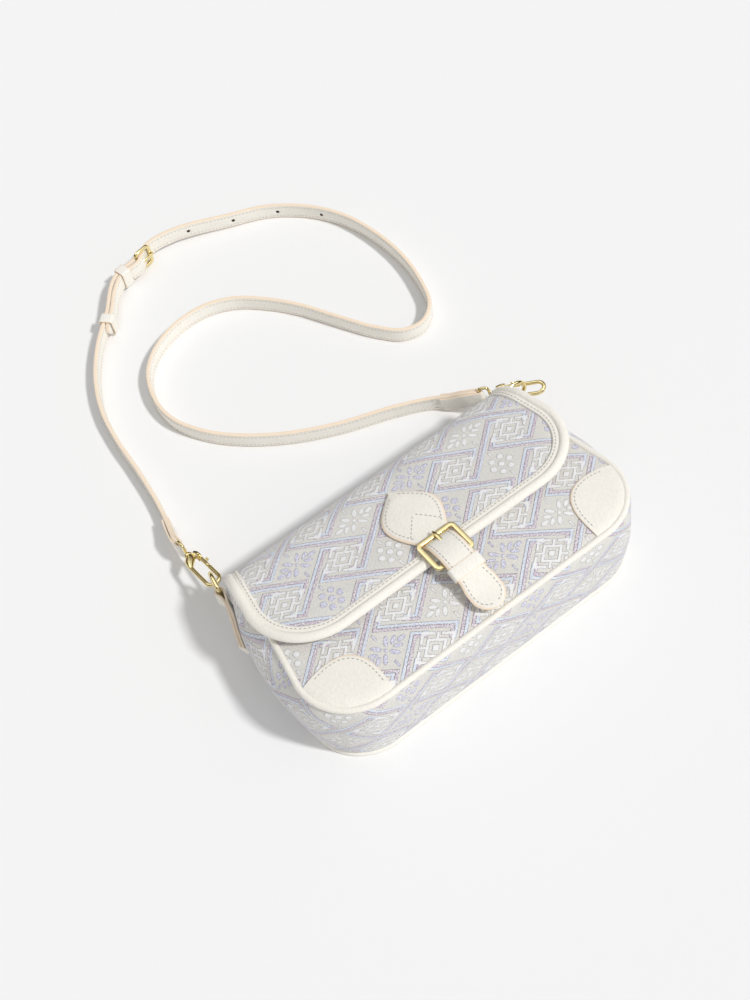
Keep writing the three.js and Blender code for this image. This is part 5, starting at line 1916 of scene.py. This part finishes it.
class FLAPBAG_OT_closure(bpy.types.Operator):
    """Builds the leaf-shaped tab with its tongue, buckle, chape, keeper and snap"""

    bl_idname = "flapbag.closure"
    bl_label = "Closure"

    def execute(self, context):
        form = bag_form(context)
        self.tongue(context, form)
        self.chape(context, form)
        ahead = Vector((0, form.front_bar_y - form.hinge.y, form.front_bar_z - form.hinge.z))
        above = RIGHT.cross(ahead)
        width = form.tongue_width + 2 * form.BUCKLE_CLEARANCE
        buckle_and_prong(
            context, "closure", form.hinge, ahead, -RIGHT, above, ahead.length, width, form.WIRE, 1.2
        )
        spot, lift = form.tongue_at(form.hinge.y - 10)
        stack = form.TONGUE + form.CHAPE + form.GAP
        centre = spot + lift * (form.TONGUE - stack / 2)
        mesh = keeper_mesh(
            place(centre, -lift.cross(RIGHT), lift),
            stack + form.GAP,
            form.tongue_width + 2 * form.GAP,
            8.8,
            1.0,
        )
        keeper = mesh.build("tongue_keeper", hide_finish(context))
        seat(keeper, "closure_keeper", "leather", "closure_keeper")
        for node in ("snap_stud", "snap_socket"):
            refinish(node, finish(context, "gold"))
        return {"FINISHED"}

    def stations(self, form):
        """Heights along the leaf and tongue, closer at both ends."""
        top = form.leaf_top_y
        half = form.tongue_width / 2
        ys = [top - d for d in (0.08, 0.35, 0.8, 1.5)]
        y = top - 2.5
        while y > form.tip_y + half:
            ys.append(y)
            y -= 1.1
        for k in range(15):
            ys.append(form.tip_y + half * (1 - math.sin(math.pi / 2 * k / 14.6)))
        return ys

    def dome(self, form, c, y):
        """Puff of the leaf above its flat thickness."""
        if y < form.front_bar_y + 4:
            return 0.0
        width = max(0.0, 1 - c * c)
        past = (form.leaf_top_y - y) / form.leaf_length
        return 1.5 * width * ease(past * 4.5) * ease((1 - past) * 2.2)

    def rise(self, form, half, c, y):
        """Height of the upper face over the underside; c runs from -1 to 1 across it."""
        crown = 0.35 * min(1.0, half / 8)
        return form.TONGUE - 0.1 + crown * (1 - c * c) + self.dome(form, c, y)

    def tongue(self, context, form):
        """The leaf and tongue in one piece, with painted edges."""
        inside = [c / 8 for c in range(-8, 9)]
        rings = []
        for y in self.stations(form):
            spot, lift = form.tongue_at(y)
            half = max(0.12, form.tongue_half(y))
            bevel = min(1.2, half * 0.5)
            edge = [(half - 0.3 * bevel, 0.0), (half, 0.4), (half, form.TONGUE - 0.9)]
            face = [(c * (half - bevel), self.rise(form, half, c, y)) for c in reversed(inside)]
            section = edge + face + [(-x, rise) for x, rise in reversed(edge)]
            rings.append([spot + RIGHT * x + lift * rise for x, rise in section])
        count = len(rings[0])
        paint = [1, 1, 1] + [0] * 16 + [1, 1, 1] + [0] * (count - 22)
        tab = Maker().tube(rings, paint).build("leaf_and_tongue", hide_finish(context))
        seat(tab, "flap", "leather", "closure_strap")
        threads = Maker()
        for sign in (1, -1):
            self.edge_run(form, threads, sign, 3.0, form.leaf_top_y - 5.5, form.front_bar_y + 4.5)
            self.edge_run(form, threads, sign, 2.6, form.front_bar_y - 4.5, form.tip_y + 2.6)
            self.vee(form, threads, sign)
        seat(seam(context, threads, "leaf_stitches"), "flap", "cloth")

    def top_spot(self, form, x, y):
        """Point and direction on the upper face of the leaf or tongue."""
        spot, lift = form.tongue_at(y)
        half = max(1.0, form.tongue_half(y))
        c = max(-1.0, min(1.0, x / max(0.5, half - 1.2)))
        return spot + RIGHT * x + lift * self.rise(form, half, c, y), lift

    def edge_run(self, form, threads, sign, inset, top, low):
        """Stitches beside one edge."""
        outline = []
        y = form.leaf_top_y
        while y > form.tip_y:
            outline.append(Vector((form.tongue_half(y), y, 0)))
            y -= 0.35
        inner = []
        for point, heading in zip(outline, headings(outline)):
            spot = point + right_of(heading) * inset
            if spot.x > 0.4 and low < spot.y < top:
                inner.append(spot)
        if low < form.tip_y + inset + 0.5:
            inner.append(Vector((0.2, form.tip_y + inset, 0)))
        run = [self.top_spot(form, sign * p.x, p.y) for p in inner]
        sew(threads, *zip(*run), form.stitch_pitch)

    def vee(self, form, threads, sign):
        """One arm of the V of stitches across the leaf."""
        shares = [k / 39 for k in range(40)]
        run = [self.top_spot(form, sign * lerp(0.4, 12.4, t), lerp(12.5, -1.2, t)) for t in shares]
        sew(threads, *zip(*run), form.stitch_pitch)

    def chape(self, context, form):
        """Leather looped about the hinge bar and run under the tongue to its end."""
        maker = Maker()
        thick = form.CHAPE
        drop = form.GAP + thick / 2
        reach = form.WIRE / 2 + 0.35 + thick / 2
        under = []
        y = form.hinge.y - 4.5
        while y > form.tip_y + 3.4:
            spot, lift = form.tongue_at(y)
            under.append(spot - lift * drop)
            y -= 1.2
        maker.sweep(under, RIGHT, *edged_box(thick, 18.0, 0.3))
        loop = [form.hinge + Vector((0, y, z)) for y, z in arc(0, 0, reach, 120, -110, 12)]
        loop = [under[2].lerp(under[1], 0.5), under[0]] + loop
        spot = under[1] - Vector((0, 0, thick + 0.2))
        loop += [spot, under[4] - Vector((0, 0, thick + 0.2))]
        loop = resample(smooth_line(loop, steps=6), 0.7)
        for sign in (1, -1):
            line = [p + RIGHT * (sign * 5.35) for p in loop]
            maker.sweep(line, RIGHT, soft_box(thick, 7.2, 0.3, 2))
        chape = maker.build("buckle_chape", hide_finish(context))
        seat(chape, "flap", "leather", "closure_chape")


class FLAPBAG_OT_stage(bpy.types.Operator):
    """Builds the paper floor, the soft key light and the pale surroundings"""

    bl_idname = "flapbag.stage"
    bl_label = "Stage"

    def execute(self, context):
        maker = Maker()
        ends = (-FLOOR_REACH, FLOOR_REACH)
        low, high = [maker.row([Vector((x, y, FLOOR_LEVEL)) for x in ends]) for y in ends]
        maker.strip(low, high)
        floor = maker.build("floor", [finish(context, "floor")])
        self.lamp(context, *KEY_LIGHT)
        self.lamp(context, *FRONT_FILL)
        self.surroundings(context)
        context.scene.view_settings.view_transform = "Standard"
        return {"FINISHED"}

    def lamp(self, context, name, strength, spread_degrees, direction):
        """A far lamp that shines in one direction."""
        light = bpy.data.lights.new(name, "SUN")
        light.energy = strength
        light.angle = math.radians(spread_degrees)
        lamp = bpy.data.objects.new(name, light)
        lamp.rotation_mode = "QUATERNION"
        lamp.rotation_quaternion = direction.to_track_quat("-Z", "Y")
        context.scene.collection.objects.link(lamp)
        return lamp

    def surroundings(self, context):
        """Even light all round, a pale backdrop, and banks of light that the metal mirrors."""
        world = bpy.data.worlds.new("surroundings")
        context.scene.world = world
        world.use_nodes = True
        tree = world.node_tree
        back = tree.nodes["Background"]
        back.inputs["Strength"].default_value = AROUND_STRENGTH
        seen = tree.nodes.new("ShaderNodeBackground")
        seen.inputs["Color"].default_value = (*tone(245, 245, 245), 1)
        back.inputs["Color"].default_value = (1, 1, 1, 1)
        rays = tree.nodes.new("ShaderNodeLightPath")
        mirrored = tree.nodes.new("ShaderNodeBackground")
        direction = tree.nodes.new("ShaderNodeTexCoord")
        split = tree.nodes.new("ShaderNodeSeparateXYZ")
        tree.links.new(direction.outputs["Generated"], split.inputs[0])
        high = Field(tree, split.outputs[2])
        banks = (Field(tree, split.outputs[0]) * 3.0 + Field(tree, split.outputs[1]) * 4.0).wave()
        bright = high.over(0.5, 0.16) * banks.between(0.5, 1.0)
        glow = blend_colours(bright, tone(76, 64, 40), (1.7, 1.7, 1.7))
        tree.links.new(glow, mirrored.inputs["Color"])
        last = back
        views = (("Is Glossy Ray", mirrored), ("Is Camera Ray", seen), ("Is Transmission Ray", seen))
        for ray, shader in views:
            mixed = tree.nodes.new("ShaderNodeMixShader")
            tree.links.new(rays.outputs[ray], mixed.inputs[0])
            tree.links.new(last.outputs[0], mixed.inputs[1])
            tree.links.new(shader.outputs[0], mixed.inputs[2])
            last = mixed
        tree.links.new(last.outputs[0], tree.nodes["World Output"].inputs["Surface"])


class FLAPBAG_PT_panel(bpy.types.Panel):
    """Lists the bag's sizes, colours and pieces in the sidebar"""

    bl_idname = "FLAPBAG_PT_panel"
    bl_label = "Flap Bag"
    bl_space_type = "VIEW_3D"
    bl_region_type = "UI"
    bl_category = "Flap Bag"

    def draw(self, context):
        layout = self.layout
        for operator in OPERATORS:
            layout.operator(operator.bl_idname)
        for group in (context.scene.flap_bag_sizes, context.scene.flap_bag_colours):
            column = layout.column(align=True)
            for name in group.bl_rna.properties.keys():
                if name not in ("rna_type", "name"):
                    column.prop(group, name)


OPERATORS = (
    FLAPBAG_OT_camera,
    FLAPBAG_OT_straps,
    FLAPBAG_OT_strap_fittings,
    FLAPBAG_OT_hooks,
    FLAPBAG_OT_rings,
    FLAPBAG_OT_body,
    FLAPBAG_OT_piping,
    FLAPBAG_OT_lining,
    FLAPBAG_OT_binding,
    FLAPBAG_OT_patches,
    FLAPBAG_OT_closure,
    FLAPBAG_OT_stage,
)
CLASSES = (FlapBagSizes, FlapBagColours, *OPERATORS, FLAPBAG_PT_panel)


def register():
    """Adds the bag's classes and properties."""
    for entry in CLASSES:
        bpy.utils.register_class(entry)
    bpy.types.Scene.flap_bag_sizes = PointerProperty(type=FlapBagSizes)
    bpy.types.Scene.flap_bag_colours = PointerProperty(type=FlapBagColours)


def unregister():
    """Takes the bag's classes and properties away."""
    del bpy.types.Scene.flap_bag_colours
    del bpy.types.Scene.flap_bag_sizes
    for entry in reversed(CLASSES):
        bpy.utils.unregister_class(entry)


def main():
    """Builds every piece in order."""
    register()
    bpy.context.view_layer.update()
    for operator in OPERATORS:
        group, name = operator.bl_idname.split(".")
        getattr(getattr(bpy.ops, group), name)()


if __name__ == "__main__":
    main()
